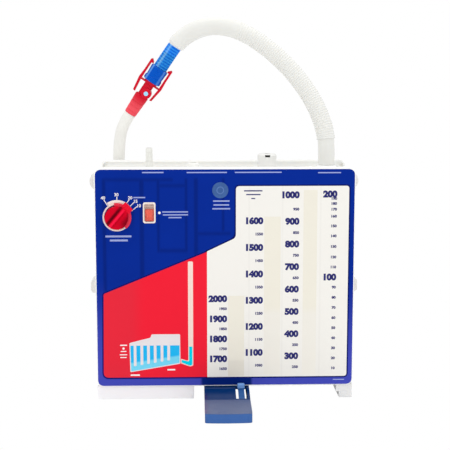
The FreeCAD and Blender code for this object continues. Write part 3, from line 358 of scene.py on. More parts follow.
@dataclass(frozen=True)
class BlueInk:
    """The dark blue print, with the case's walls showing faintly through it, painted light in its
    lower margins and painted shade across their middle.
    """

    name: str = "blue_print"
    colour: Colour = srgb(2, 40, 142)
    ghost: Colour = srgb(1, 24, 100)
    margin: Colour = srgb(64, 72, 176)
    margin_shade: Colour = srgb(2, 32, 112)
    mottle: float = 0.1
    walls: tuple[Rect, ...] = (
        (-141.0, -137.0, 130.0, 262.0), (-98.5, -93.5, 128.0, 262.0), (-78.5, -75.5, 176.0, 262.0),
        (-46.5, -43.5, 176.0, 262.0), (-36.0, -31.5, 170.0, 262.0), (-4.0, -1.0, 200.0, 262.0),
        (-76.0, -44.0, 176.0, 180.0), (-76.0, -44.0, 252.0, 255.0), (-33.0, 6.0, 196.0, 199.5),
        (-141.0, -60.0, 259.0, 262.0),
    )
    wall_blur: float = 1.4
    margin_top: Point2 = (24.5, 27.0)
    margin_sides: Point2 = (-139.5, 140.5)
    margin_fade: Point2 = (40.0, 150.0)
    shade_span: Point2 = (-28.0, 31.0)
    surface: Surface = Surface(0.34, specular=0.04, **PRINTED_GRAIN)

    def material(self) -> bpy.types.Material:
        """Builds the finish."""
        nodes = ShaderNodes(self.name)
        x, _, z = nodes.coordinates()
        blur = self.wall_blur
        walls = reduce(Value.larger, [
            x.within(x0, x1, blur) * z.within(z0, z1, 2 * blur) for x0, x1, z0, z1 in self.walls
        ])
        cloud = nodes.noise(22.0, 3.0)
        base = nodes.mix(
            cloud, dimmed(self.colour, 1 - self.mottle), dimmed(self.colour, 1 + self.mottle),
        )
        ghosted = nodes.mix(walls * 0.5, base, self.ghost)
        # Painted light lightens the lower margin and the low parts of the side margins; across the
        # middle it gives way to painted shade.
        left, right = self.margin_sides
        sides = (x.below(left) + x.above(right)) * (1.0 - z.ramp(*self.margin_fade))
        margin = (1.0 - z.ramp(*self.margin_top)).larger(sides)
        shade = nodes.mix(x.within(*self.shade_span, 2.0), self.margin, self.margin_shade)
        return self.surface.dress(nodes, nodes.mix(margin, ghosted, shade), cloud)


@dataclass(frozen=True)
class RedInk:
    """The red print, a little duller towards the left, where a wall lies close behind it."""

    name: str = "red_print"
    colour: Colour = srgb(236, 22, 48)
    dull: Colour = srgb(222, 36, 56)
    dull_left: Point2 = (-112.0, -92.0)
    dull_foot: Point2 = (30.0, 48.0)
    surface: Surface = Surface(0.36, specular=0.12, **PRINTED_GRAIN)

    def material(self) -> bpy.types.Material:
        """Builds the finish."""
        nodes = ShaderNodes(self.name)
        x, _, z = nodes.coordinates()
        cloud = nodes.noise(18.0, 3.0)
        left = 1.0 - x.ramp(*self.dull_left)
        low = 1.0 - z.ramp(*self.dull_foot)
        share = left * 0.75 + low * 0.2 + (cloud - 0.5) * 0.25
        return self.surface.dress(nodes, nodes.mix(share, self.colour, self.dull), cloud)


@dataclass(frozen=True)
class WindowBacking:
    """The clear part of the face, with the pale chambers behind it."""

    name: str = "window_white"
    colour: Colour = srgb(238, 236, 230)
    shade: Colour = srgb(226, 224, 218)
    walls: Point3 = (27.5, 66.0, 110.0)
    wall_width: float = 2.0
    shade_foot: Point2 = (28.0, 75.0)
    surface: Surface = Surface(0.4, 0.08, 0.2, grain_scale=500.0)

    def material(self) -> bpy.types.Material:
        """Builds the finish."""
        nodes = ShaderNodes(self.name)
        x, _, z = nodes.coordinates()
        cloud = nodes.noise(14.0, 3.0, (1.0, 1.0, 0.35))
        half = self.wall_width / 2
        walls = reduce(Value.larger, [x.within(w - half, w + half, 0.6) for w in self.walls])
        share = cloud * 0.35 + walls * 0.3 + (1.0 - z.ramp(*self.shade_foot)) * 0.25
        return self.surface.dress(nodes, nodes.mix(share, self.colour, self.shade), cloud)


@dataclass(frozen=True)
class WriteOnStrip:
    """The matt beige strips beside the scales."""

    name: str = "write_on_strip"
    colour: Colour = srgb(232, 228, 214)
    faint: Colour = srgb(233, 230, 221)
    dark: Colour = srgb(224, 219, 206)
    dark_top: Point2 = (45.0, 49.0)
    dark_left_of: float = 30.0
    faint_top: Point2 = (100.0, 112.0)
    surface: Surface = Surface(0.62, grain_scale=1500.0, grain=0.2)

    def material(self) -> bpy.types.Material:
        """Builds the finish."""
        nodes = ShaderNodes(self.name)
        x, _, z = nodes.coordinates()
        cloud = nodes.noise(40.0, 4.0)
        left = x.below(self.dark_left_of)
        low = (1.0 - z.ramp(*self.dark_top)) * left
        fade = (1.0 - z.ramp(*self.faint_top)) * (1.0 - left)
        base = nodes.mix(fade, self.colour, self.faint)
        colour = nodes.mix(low * 0.8 + cloud * 0.15, base, self.dark)
        return self.surface.dress(nodes, colour, cloud)


@dataclass(frozen=True)
class StandBlue:
    """The stand's clear blue plastic: deep on its ramp, where that is painted shade, and greyer on
    the flat top.
    """

    name: str = "stand_blue"
    deep: Colour = srgb(4, 50, 108)
    flat: Colour = srgb(96, 110, 146)
    lip: Colour = srgb(62, 104, 170)
    cloudy: Colour = srgb(2, 30, 80)
    flat_end: Point2 = (-43.0, -40.0)
    lip_top: Point2 = (10.1, 10.7)
    nose_end: Point2 = (-86.0, -83.5)
    surface: Surface = Surface(0.24, specular=0.12, grain_scale=600.0, grain=0.08)

    def material(self) -> bpy.types.Material:
        """Builds the finish."""
        nodes = ShaderNodes(self.name)
        _, y, z = nodes.coordinates()
        cloud = nodes.noise(60.0, 3.0)
        ahead = 1.0 - y.ramp(*self.flat_end)
        on_top = z.ramp(*self.lip_top)
        nose = 1.0 - y.ramp(*self.nose_end)
        base = nodes.mix(ahead * on_top, self.deep, self.flat)
        lip = nodes.mix(nose * (1.0 - on_top), base, self.lip)
        nodes.set(Coat_Weight=0.05)
        return self.surface.dress(nodes, nodes.mix(cloud * 0.16, lip, self.cloudy), cloud)


@dataclass(frozen=True)
class KnobRed:
    """The dial's red, with painted shade beside the ridge and a painted highlight along its edge.
    """

    name: str = "knob_red"
    colour: Colour = srgb(208, 2, 36)
    bright: Colour = srgb(246, 24, 66)
    hollow: Colour = srgb(96, 0, 16)
    centre: Point2 = DIAL_CENTRE
    angle: float = RIDGE_ANGLE
    surface: Surface = Surface(0.3, specular=0.03)

    def material(self) -> bpy.types.Material:
        """Builds the finish."""
        nodes = ShaderNodes(self.name)
        x, _, z = nodes.coordinates()
        cosine, sine = math.cos(math.radians(self.angle)), math.sin(math.radians(self.angle))
        east, up = x - self.centre[0], z - self.centre[1]
        along = east * cosine + up * sine
        across = up * cosine - east * sine
        # Painted shade in bands on both sides of the ridge, and a painted highlight along its edge.
        upper = across.within(1.9, 5.5, 1.2) * (1.0 - along.ramp(6.0, 13.0) * 0.2)
        lower = (0.0 - across).ramp(4.0, 11.0) * along.ramp(-9.0, 2.0)
        edge = across.within(-1.9, 0.9, 0.7)
        cloud = nodes.noise(220.0, 3.0)
        share = upper.larger(lower * 0.85) * 0.9 + (cloud - 0.5) * 0.2
        shaded = nodes.mix(share, self.colour, self.hollow)
        return self.surface.dress(nodes, nodes.mix(edge * 0.9, shaded, self.bright), cloud)


@dataclass(frozen=True)
class LatchBlue:
    """The latch tongue's blue, ribbed across, with painted light on the rib crests and its finger
    knob lighter.
    """

    name: str = "latch_blue"
    deep: Colour = srgb(24, 72, 134)
    ridge: Colour = srgb(62, 112, 176)
    knob: Colour = srgb(112, 156, 216)
    knob_foot: Point2 = (15.2, 16.0)
    rib_pitch: float = 3.0
    surface: Surface = Surface(0.35, specular=0.15, grain=0.3, grain_depth=0.0004)

    def material(self) -> bpy.types.Material:
        """Builds the finish."""
        nodes = ShaderNodes(self.name)
        _, y, z = nodes.coordinates()
        ribs = y.wave(self.rib_pitch)
        # The ridge colour is painted light on the rib crests, with the deep blue between them.
        body = nodes.mix(ribs * 0.7, self.deep, self.ridge)
        cloud = nodes.noise(300.0, 2.0)
        colour = nodes.mix(z.ramp(*self.knob_foot), body, self.knob)
        return self.surface.dress(nodes, colour, cloud, ribs)


@dataclass(frozen=True)
class ReliefCap:
    """The relief valve's pale housing, with painted shade inside the slot near its top."""

    name: str = "relief_cap"
    colour: Colour = srgb(234, 234, 231)
    inside: Colour = srgb(34, 34, 32)
    slot_across: Point2 = (47.7, 54.1)
    slot_deep: Point2 = (28.8, 32.5)
    slot_high: Point2 = (282.2, 284.8)
    edge: float = 0.1
    surface: Surface = Surface(0.4, specular=0.2, grain=0.08)

    def material(self) -> bpy.types.Material:
        """Builds the finish."""
        nodes = ShaderNodes(self.name)
        x, y, z = nodes.coordinates()
        # The inside colour is painted shade in the slot.
        slot = y.within(*self.slot_deep, self.edge) * z.within(*self.slot_high, self.edge)
        slot = slot * x.within(*self.slot_across, self.edge)
        cloud = nodes.noise(120.0, 3.0)
        pale = nodes.mix(cloud, dimmed(self.colour, 0.96), self.colour)
        return self.surface.dress(nodes, nodes.mix(slot, pale, self.inside), cloud)


@dataclass(frozen=True)
class ConnectorLine:
    """The connector's own axis, from the tube's end up towards the hose."""

    foot: Point3 = (-114.6, 94.7, 330.6)
    axis: Point3 = (0.559, -0.082, 0.825)

    def places(self, nodes: ShaderNodes) -> tuple[Value, Value]:
        """Gives each place's height up the axis and its place to the side, in millimetres."""
        x, y, z = nodes.coordinates()
        east, back, up = x - self.foot[0], y - self.foot[1], z - self.foot[2]
        height = east * self.axis[0] + back * self.axis[1] + up * self.axis[2]
        return height, up * self.axis[0] - east * self.axis[2]


@dataclass(frozen=True)
class ConnectorBlue:
    """The blue half of the connector, lighter where the clear hose end covers its barbs, with
    painted highlights down both sides of its body.
    """

    name: str = "connector_blue"
    body: Colour = srgb(0, 82, 190)
    barb: Colour = srgb(58, 150, 232)
    glint: Colour = srgb(120, 182, 242)
    body_top: Point2 = (67.0, 68.2)
    line: ConnectorLine = ConnectorLine()
    surface: Surface = Surface(0.28, 0.08, 0.06)

    def material(self) -> bpy.types.Material:
        """Builds the finish."""
        nodes = ShaderNodes(self.name)
        height, side = self.line.places(nodes)
        # Two painted highlights run down the sides of the body.
        upper_glint = side.within(7.2, 9.2, 0.8) * 0.55
        lower_glint = side.within(-8.8, -6.6, 1.0) * 0.35
        body = nodes.mix(upper_glint.larger(lower_glint), self.body, self.glint)
        cloud = nodes.noise(200.0, 2.0)
        colour = nodes.mix(height.ramp(*self.body_top), body, self.barb)
        return self.surface.dress(nodes, colour, cloud)


@dataclass(frozen=True)
class ConnectorRed:
    """The red half of the connector, paler down its sleeve, where the tube shows through."""

    name: str = "connector_red"
    deep: Colour = srgb(206, 8, 40)
    sleeve: Colour = srgb(240, 86, 98)
    fade: Point2 = (8.0, 27.0)
    line: ConnectorLine = ConnectorLine()
    surface: Surface = Surface(0.3, specular=0.08)

    def material(self) -> bpy.types.Material:
        """Builds the finish."""
        nodes = ShaderNodes(self.name)
        height, _ = self.line.places(nodes)
        share = 1.0 - height.ramp(*self.fade)
        cloud = nodes.noise(160.0, 3.0)
        colour = nodes.mix(share * 0.85 + cloud * 0.1, self.deep, self.sleeve)
        return self.surface.dress(nodes, colour, cloud)


@dataclass(frozen=True)
class CaseWhite:
    """The case's milky white, with painted shade that makes it a little darker at its feet and side
    mountings.
    """

    name: str = "case"
    colour: Colour = srgb(250, 250, 247)
    foot: Colour = srgb(243, 242, 244)
    corner: Colour = srgb(228, 228, 228)
    mounting: Colour = srgb(228, 226, 224)
    foot_top: Point2 = (19.0, 22.0)
    side: float = 151.5
    corner_right_of: float = 50.0
    surface: Surface = Surface(0.32, specular=0.15, grain=0.1, grain_depth=0.0002)

    def material(self) -> bpy.types.Material:
        """Builds the finish."""
        nodes = ShaderNodes(self.name)
        x, _, z = nodes.coordinates()
        # Painted shade darkens the feet, the right one most, and the side mountings.
        low = 1.0 - z.ramp(*self.foot_top)
        sides = x.above(self.side) + x.below(-self.side)
        cloud = nodes.noise(60.0, 4.0)
        white = nodes.mix(cloud, dimmed(self.colour, 0.97), self.colour)
        feet = nodes.mix(x.above(self.corner_right_of), self.foot, self.corner)
        shaded = nodes.mix(low, white, feet)
        nodes.set(
            Subsurface_Weight=0.2, Subsurface_Radius=(1.0, 0.9, 0.8), Subsurface_Scale=0.004,
        )
        colour = nodes.mix(sides * (1.0 - low), shaded, self.mounting)
        return self.surface.dress(nodes, colour, cloud)


@dataclass(frozen=True)
class MilkyHose:
    """The hose's milky plastic, clear and blue where it is stretched over the barbs, with painted
    shade in the grooves between them and a painted highlight down one side.
    """

    name: str = "hose_milky"
    colour: Colour = srgb(228, 228, 224)
    barb: Colour = srgb(48, 150, 240)
    groove: Colour = srgb(8, 100, 210)
    glint: Colour = srgb(140, 200, 246)
    span: Point2 = (60.0, 99.5)
    reach: float = 14.0
    glint_place: Point2 = (3.2, 5.2)
    barb_pitch: float = 3.4
    line: ConnectorLine = ConnectorLine()
    surface: Surface = Surface(0.45, specular=0.05, grain=0.04, grain_depth=0.0002)

    def material(self) -> bpy.types.Material:
        """Builds the finish."""
        nodes = ShaderNodes(self.name)
        height, side = self.line.places(nodes)
        over = height.within(*self.span, 0.5) * side.within(-self.reach, self.reach, 0.5)
        # The barbs show through in bands, with painted shade in the grooves between them, then a
        # painted highlight (the glint) down one side.
        barbs = nodes.mix(height.wave(self.barb_pitch) * 0.8, self.groove, self.barb)
        barbs = nodes.mix(side.within(*self.glint_place, 1.6) * 0.7, barbs, self.glint)
        cloud = nodes.noise(60.0, 3.0)
        milky = nodes.mix(cloud, dimmed(self.colour, 0.97), self.colour)
        nodes.set(
            Subsurface_Weight=0.5, Subsurface_Radius=(1.0, 0.96, 0.9), Subsurface_Scale=0.004,
        )
        return self.surface.dress(nodes, nodes.mix(over, milky, barbs), cloud, cloud)


@dataclass(frozen=True)
class DyedWater:
    """The blue water of the leak meter, paler towards its sloping floor."""

    name: str = "dyed_water"
    deep: Colour = srgb(4, 176, 236)
    pale: Colour = srgb(120, 214, 240)
    left_floor: Point2 = (-111.0, 44.5)
    right_floor: Point2 = (-52.8, 53.5)
    fade: float = 1.5
    surface: Surface = Surface(0.2, 0.0, 0.05, grain=0.15, grain_depth=0.0003)

    def material(self) -> bpy.types.Material:
        """Builds the finish."""
        nodes = ShaderNodes(self.name)
        x, _, z = nodes.coordinates()
        (left, foot), (right, head) = self.left_floor, self.right_floor
        level = z - (x - left) * ((head - foot) / (right - left))
        share = 1.0 - level.ramp(foot - self.fade, foot + self.fade)
        cloud = nodes.noise(120.0, 3.0)
        colour = nodes.mix(share * 0.85 + cloud * 0.15, self.deep, self.pale)
        return self.surface.dress(nodes, colour, cloud, cloud)


# The way from the face to the viewer, how far printed layers reach into the face in
# millimetres, and a digit's height as a share of the font's size.
VIEWER = (0.0, -1.0, 0.0)
EMBED = 0.02
DIGIT_SHARE = 0.7


def finished_object(
    name: str, bm: bmesh.types.BMesh, material: bpy.types.Material, body: Body,
) -> bpy.types.Object:
    """Makes an object at the origin from a mesh in metres.

    Args:
        name: The piece's name.
        bm: Its mesh, which is freed.
        material: Its finish.
        body: The body it rides on.

    Returns:
        The piece.
    """
    data = bpy.data.meshes.new(name)
    bm.to_mesh(data)
    bm.free()
    obj = bpy.data.objects.new(name, data)
    bpy.context.collection.objects.link(obj)
    obj.data.materials.append(material)
    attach(obj, body.value)
    return obj


class Mesh:
    """A mesh under construction, given in millimetres and finished as an object in metres."""

    def __init__(self) -> None:
        """Starts an empty mesh."""
        self.bm = bmesh.new()

    def box(self, low: Sequence[float], high: Sequence[float]) -> None:
        """Adds a box between its lowest and highest corners."""
        verts = bmesh.ops.create_cube(self.bm, size=1.0)["verts"]
        size = [b - a for a, b in zip(low, high)]
        middle = [(a + b) / 2 for a, b in zip(low, high)]
        bmesh.ops.scale(self.bm, vec=size, verts=verts)
        bmesh.ops.translate(self.bm, vec=middle, verts=verts)

    def turned(
        self, profile: Sequence[Point2], origin: Sequence[float], axis: Sequence[float],
        steps: int = 48,
    ) -> None:
        """Spins a side view right round an axis.

        Args:
            profile: Points of (radius, height along the axis), from foot to head.
            origin: Where the axis starts.
            axis: Its direction.
            steps: Sides of the round.
        """
        verts = [self.bm.verts.new((radius, 0, height)) for radius, height in profile]
        edges = [self.bm.edges.new(pair) for pair in zip(verts, verts[1:])]
        bmesh.ops.spin(
            self.bm, geom=verts + edges, cent=(0, 0, 0), axis=(0, 0, 1), dvec=(0, 0, 0),
            angle=math.tau, steps=steps, use_duplicate=False, use_merge=True,
        )
        bmesh.ops.remove_doubles(self.bm, verts=list_linked(verts), dist=1e-5)
        made = list_linked(v for v in verts if v.is_valid)
        turn = Vector((0, 0, 1)).rotation_difference(Vector(axis)).to_matrix().to_4x4()
        bmesh.ops.transform(self.bm, matrix=Matrix.Translation(origin) @ turn, verts=made)

    def prism(
        self, outline: Sequence[Point2], y_front: float, y_back: float, bevel: float = 0.0,
        segments: int = 2,
    ) -> None:
        """Adds an outline drawn on the face, (x, z), with a depth.

        Args:
            outline: Its points in order.
            y_front: Depth of its front.
            y_back: Depth of its back.
            bevel: Rounding of the front's rim.
            segments: Faces across that rounding.
        """
        verts = [self.bm.verts.new((x, y_back, z)) for x, z in outline]
        face = self.bm.faces.new(verts)
        made = bmesh.ops.extrude_face_region(self.bm, geom=[face])["geom"]
        front = [v for v in made if isinstance(v, bmesh.types.BMVert)]
        bmesh.ops.translate(self.bm, vec=(0, y_front - y_back, 0), verts=front)
        if bevel:
            flat = set(front)
            rim = {e for v in front for e in v.link_edges if flat.issuperset(e.verts)}
            bmesh.ops.bevel(
                self.bm, geom=list(rim), offset=bevel, offset_type="OFFSET", segments=segments,
                profile=0.5, affect="EDGES", clamp_overlap=True, material=-1,
            )

    def ring_of_edges(self, points: Iterable[Sequence[float]]) -> list[bmesh.types.BMEdge]:
        """Joins points into one closed ring of edges."""
        verts = [self.bm.verts.new(point) for point in points]
        return [self.bm.edges.new((verts[k - 1], verts[k])) for k in range(len(verts))]

    def lofted(self, rings: Iterable[Iterable[Sequence[float]]], capped: bool = False) -> None:
        """Bridges closed rings of points, each to the next.

        Args:
            rings: The rings, with the same number of points in each.
            capped: Whether the first and last ring are closed off.
        """
        loops = [self.ring_of_edges(ring) for ring in rings]
        for low, high in zip(loops, loops[1:]):
            bmesh.ops.bridge_loops(self.bm, edges=low + high)
        if capped:
            for loop in (loops[0], loops[-1]):
                bmesh.ops.contextual_create(self.bm, geom=loop)

    def sheet_with_hole(
        self, outline: Sequence[Point2], hole: Sequence[Point2], depth: float,
    ) -> None:
        """Adds a flat sheet, seen from the front, with a hole in it.

        Args:
            outline: The outer outline.
            hole: The hole's outline.
            depth: Depth of the sheet.
        """
        edges = []
        for shape in (outline, hole):
            edges += self.ring_of_edges((x, depth, z) for x, z in shape)
        bmesh.ops.triangle_fill(self.bm, use_beauty=True, edges=edges, normal=VIEWER)

    def finish(
        self, name: str, material: bpy.types.Material, body: Body = Body.CASE,
        smooth: float = 35.0, replaces: Sequence[str] = (), merge: float = 1e-4,
        closed: bool = True,
    ) -> bpy.types.Object:
        """Makes the object, in metres at the origin.

        Args:
            name: The piece's name.
            material: Its finish.
            body: The body it rides on.
            smooth: Angle in degrees below which faces shade as one surface.
            replaces: CAD nodes that it stands for.
            merge: Distance in millimetres below which points join.
            closed: Whether it is a closed shape, whose faces are turned outwards.

        Returns:
            The finished piece.
        """
        bmesh.ops.remove_doubles(self.bm, verts=self.bm.verts[:], dist=merge)
        if closed:
            bmesh.ops.recalc_face_normals(self.bm, faces=self.bm.faces[:])
        bmesh.ops.scale(self.bm, vec=(MM, MM, MM), verts=self.bm.verts[:])
        for face in self.bm.faces:
            face.smooth = True
        limit = math.radians(smooth)
        for edge in self.bm.edges:
            edge.smooth = edge.is_manifold and edge.calc_face_angle(0.0) < limit
        obj = finished_object(name, self.bm, material, body)
        if replaces:
            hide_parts(*replaces)
        return obj


def list_linked(seeds: Iterable[bmesh.types.BMVert]) -> list[bmesh.types.BMVert]:
    """Finds every point joined by edges to the given ones.

    Args:
        seeds: The points to start from.

    Returns:
        All the points found, in no order.
    """
    found = set()
    waiting = list(seeds)
    while waiting:
        vert = waiting.pop()
        if vert in found or not vert.is_valid:
            continue
        found.add(vert)
        waiting.extend(edge.other_vert(vert) for edge in vert.link_edges)
    return list(found)


def rounded_outline(
    corners: Sequence[Point2], radius: Union[float, Sequence[float]], steps: int = 6,
) -> list[Point2]:
    """Rounds the corners of an outline.

    Args:
        corners: Its sharp corners in order.
        radius: Radius of each round, or one for each corner, cut down where a side is short.
        steps: Sides of each round.

    Returns:
        The rounded outline's points.
    """
    points = []
    count = len(corners)
    for k, corner in enumerate(corners):
        here = Vector(corner)
        before = Vector(corners[k - 1]) - here
        after = Vector(corners[(k + 1) % count]) - here
        wanted = radius if isinstance(radius, (int, float)) else radius[k]
        reach = min(wanted, before.length * 0.45, after.length * 0.45)
        start = here + before.normalized() * reach
        end = here + after.normalized() * reach
        for step in range(steps + 1):
            t = step / steps
            point = start * (1 - t) ** 2 + here * (2 * t * (1 - t)) + end * t ** 2
            points.append((point.x, point.y))
    return points


def outset(corners: Sequence[Point2], width: float) -> list[Point2]:
    """Moves each side of an outline outwards.

    Args:
        corners: Its corners, anticlockwise.
        width: How far each side moves.

    Returns:
        The wider outline's corners.
    """
    points = [Vector(c) for c in corners]
    moved = []
    for k, point in enumerate(points):
        before = (point - points[k - 1]).normalized()
        after = (points[(k + 1) % len(points)] - point).normalized()
        first, second = Vector((before.y, -before.x)), Vector((after.y, -after.x))
        out = (first + second) / (1 + first.dot(second))
        moved.append(tuple(point + out * width))
    return moved


def rectangle(x0: float, x1: float, z0: float, z1: float) -> list[Point2]:
    """Corners of an upright rectangle."""
    return [(x0, z0), (x1, z0), (x1, z1), (x0, z1)]


def turned_outline(outline: Iterable[Point2], centre: Point2, angle: float) -> list[Point2]:
    """Places an outline, drawn round the origin, at a centre and an angle in degrees."""
    cosine, sine = math.cos(math.radians(angle)), math.sin(math.radians(angle))
    return [
        (centre[0] + a * cosine - b * sine, centre[1] + a * sine + b * cosine) for a, b in outline
    ]


@dataclass(frozen=True)
class Lettering:
    """How bold and how wide a size of plain numbers is set, in millimetres."""

    height: float
    weight: float
    stretch: float = 1.0

    def mesh(self, text: str, place: Matrix) -> bpy.types.Mesh:
        """Sets a number as a flat mesh.

        Args:
            text: The number.
            place: Where its right-hand foot goes, with its turn.

        Returns:
            The mesh, in millimetres.
        """
        curve = bpy.data.curves.new(text, "FONT")
        curve.body = text
        curve.size = self.height * MM / DIGIT_SHARE
        curve.offset = self.weight * MM
        curve.align_x = "RIGHT"
        curve.resolution_u = 4
        helper = bpy.data.objects.new(text, curve)
        bpy.context.collection.objects.link(helper)
        bpy.context.view_layer.update()
        graph = bpy.context.evaluated_depsgraph_get()
        mesh = bpy.data.meshes.new_from_object(helper.evaluated_get(graph))
        bpy.data.objects.remove(helper)
        bpy.data.curves.remove(curve)
        mesh.transform(Matrix.Scale(1 / MM, 4))
        mesh.transform(place @ Matrix.Scale(self.stretch, 4, (1, 0, 0)))
        return mesh


class Layer(Enum):
    """How far each layer of print stands off the face, in millimetres."""

    FIELD = 0.05
    GROOVE = 0.08
    PANEL = 0.10
    STRIP = 0.14
    MARK = 0.18
    BAR = 0.24


def lay(
    name: str, outlines: Iterable[Sequence[Point2]], layer: Layer, material: bpy.types.Material,
) -> bpy.types.Object:
    """Lays flat shapes of one ink or plastic on the face.

    Args:
        name: Name of the piece.
        outlines: The shapes' points.
        layer: The layer that they lie in.
        material: Their finish.

    Returns:
        The piece.
    """
    mesh = Mesh()
    face = face_y() / MM
    for outline in outlines:
        mesh.prism(outline, face - layer.value, face + EMBED)
    return mesh.finish(name, material)


@dataclass(frozen=True)
class Inks:
    """The finishes of the print."""

    blue: bpy.types.Material
    red: bpy.types.Material
    window: bpy.types.Material
    strip: bpy.types.Material
    white: bpy.types.Material
    navy: bpy.types.Material
    caption: bpy.types.Material
    groove: bpy.types.Material


Mark = tuple[int, float]


@dataclass(frozen=True)
class Scale:
    """One collection column's plain numbers, each with its height on the face."""

    right: float
    marks: tuple[Mark, ...]

    def numbers(self, large: bool) -> list[tuple[str, float, float]]:
        """The column's full hundreds, or the smaller numbers between them."""
        return [(str(n), self.right, z) for n, z in self.marks if (n % 100 == 0) == large]


@dataclass(frozen=True)
class Print:
    """Everything printed on the face, in millimetres across (x) and up (z)."""

    inks: Inks
    scales: tuple[Scale, ...]
    field: Rect = (-149.0, 149.0, 17.2, 272.2)
    field_round: float = 7.5
    hole_inset: float = 1.0
    hole_round: float = 1.8
    groove: float = 1.6
    window: tuple[Point2, ...] = (
        (-21.2, 27.0), (142.6, 27.0), (142.6, 252.8), (12.2, 252.8), (12.2, 192.7), (-21.2, 176.9),
    )
    corners_window: tuple[float, ...] = (0.1, 3.6, 3.2, 4.2, 4.4, 0.1)
    red: tuple[Point2, ...] = ((-142.3, 27.2), (-21.2, 27.2), (-21.2, 176.3), (-141.0, 127.3))
    corners_red: tuple[float, ...] = (6.4, 0.1, 0.1, 1.2)
    strips: tuple[Rect, ...] = (
        (45.0, 64.0, 30.0, 217.2), (90.2, 106.1, 30.0, 248.0), (3.2, 22.0, 27.9, 124.3),
    )
    dial_marks: tuple[tuple[str, Point2, Point2, Point2], ...] = (
        ("40", (-139.1, 237.5), (-134.6, 230.6), (-139.6, 239.8)),
        ("30", (-124.1, 241.1), (-124.2, 236.4), (-124.3, 243.5)),
        ("20", (-110.0, 237.6), (-113.0, 233.8), (-108.6, 239.8)),
        ("15", (-104.7, 234.3), (-108.8, 230.3), (-102.6, 235.8)),
        ("10", (-101.1, 229.7), (-105.4, 226.2), (-98.8, 230.6)),
    )
    tick_width: float = 0.9
    dial_lettering: Lettering = Lettering(3.5, 0.12)
    large_lettering: Lettering = Lettering(6.9, 0.70, 1.06)
    small_lettering: Lettering = Lettering(2.9, 0.215, 1.1)
    captions_pale: tuple[Rect, ...] = (
        (-95.0, -70.6, 268.1, 269.5), (-44.2, 1.8, 268.0, 269.3), (10.9, 64.6, 268.0, 269.3),
        (106.4, 132.8, 267.4, 268.7), (-137.8, -108.0, 193.9, 196.1),
        (-132.8, -112.2, 189.2, 191.4), (-105.3, -91.8, 239.3, 240.7),
        (-72.4, -42.9, 222.5, 223.9), (-71.7, -42.9, 219.1, 220.5), (-65.3, -50.4, 215.9, 217.3),
        (-14.1, 4.8, 234.8, 236.4), (-13.6, 4.3, 230.3, 231.9), (-14.9, 5.5, 225.9, 227.5),
        (126.8, 140.0, 22.3, 23.3),
    )
    captions_navy: tuple[Rect, ...] = (
        (21.5, 42.6, 246.6, 248.0), (24.0, 40.4, 242.3, 243.6), (29.8, 34.3, 237.8, 239.0),
    )
    captions_white: tuple[Rect, ...] = (
        (-122.7, -114.6, 65.5, 66.8), (-123.3, -114.6, 54.2, 55.3), (-122.8, -115.4, 50.9, 52.0),
        (-122.1, -115.6, 58.2, 59.3), (-110.8, -100.1, 29.2, 30.9), (-67.8, -58.7, 35.4, 37.1),
    )
    spots: tuple[Point3, ...] = ((-75.7, 222.2, 1.5), (-118.8, 62.2, 1.3))
    spot_sides: int = 20

    def numbers(
        self, name: str, items: Iterable[tuple[str, float, float]], lettering: Lettering,
        material: bpy.types.Material,
    ) -> bpy.types.Object:
        """Prints plain numbers.

        Args:
            name: Name of the piece.
            items: Each number's text, right edge and middle height.
            lettering: How they are set.
            material: The ink.

        Returns:
            The printed piece.
        """
        mesh = Mesh()
        depth = face_y() / MM - Layer.MARK.value
        upright = Matrix.Rotation(math.radians(90), 4, "X")
        for text, right, middle in items:
            foot = Matrix.Translation((right, depth, middle - lettering.height / 2))
            flat = lettering.mesh(text, foot @ upright)
            mesh.bm.from_mesh(flat)
            bpy.data.meshes.remove(flat)
        return mesh.finish(name, material, smooth=10.0, merge=1e-3, closed=False)

    def dots(self) -> list[list[Point2]]:
        """Outlines of the round marks that lead to a caption."""
        turns = [math.tau * k / self.spot_sides for k in range(self.spot_sides)]
        return [
            [(x + radius * math.cos(t), z + radius * math.sin(t)) for t in turns]
            for x, z, radius in self.spots
        ]

    def ticks(self) -> list[list[Point2]]:
        """Outlines of the dial's ticks, each a short bar along its own line."""
        outlines = []
        for _, outer, inner, _ in self.dial_marks:
            start, end = Vector(inner), Vector(outer)
            along = (end - start).normalized() * (self.tick_width / 2)
            across = Vector((-along.y, along.x))
            corners = (start - across, end - across, end + across, start + across)
            outlines.append([tuple(corner) for corner in corners])
        return outlines

    def field_sheet(self) -> bpy.types.Object:
        """The blue print, with an unprinted place behind the float's window."""
        low, high = (Vector(c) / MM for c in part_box("float_window"))
        inset = self.hole_inset
        hole = rectangle(low.x + inset, high.x - inset, low.z + inset, high.z - inset)
        outline = rounded_outline(rectangle(*self.field), self.field_round, 8)
        mesh = Mesh()
        depth = face_y() / MM - Layer.FIELD.value
        mesh.sheet_with_hole(outline, rounded_outline(hole, self.hole_round, 4), depth)
        return mesh.finish("blue_field", self.inks.blue)

    def panels(self) -> list[bpy.types.Object]:
        """The red field and the clear window, each in its own groove."""
        panels = (
            ("red_field", self.red, self.corners_red, self.inks.red),
            ("clear_window", self.window, self.corners_window, self.inks.window),
        )
        made = []
        for name, panel, rounds, _ in panels:
            rim = rounded_outline(outset(panel, self.groove), [r + self.groove for r in rounds])
            made.append(lay(f"{name}_groove", [rim], Layer.GROOVE, self.inks.groove))
        for name, panel, rounds, ink in panels:
            made.append(lay(name, [rounded_outline(panel, rounds)], Layer.PANEL, ink))
        return made

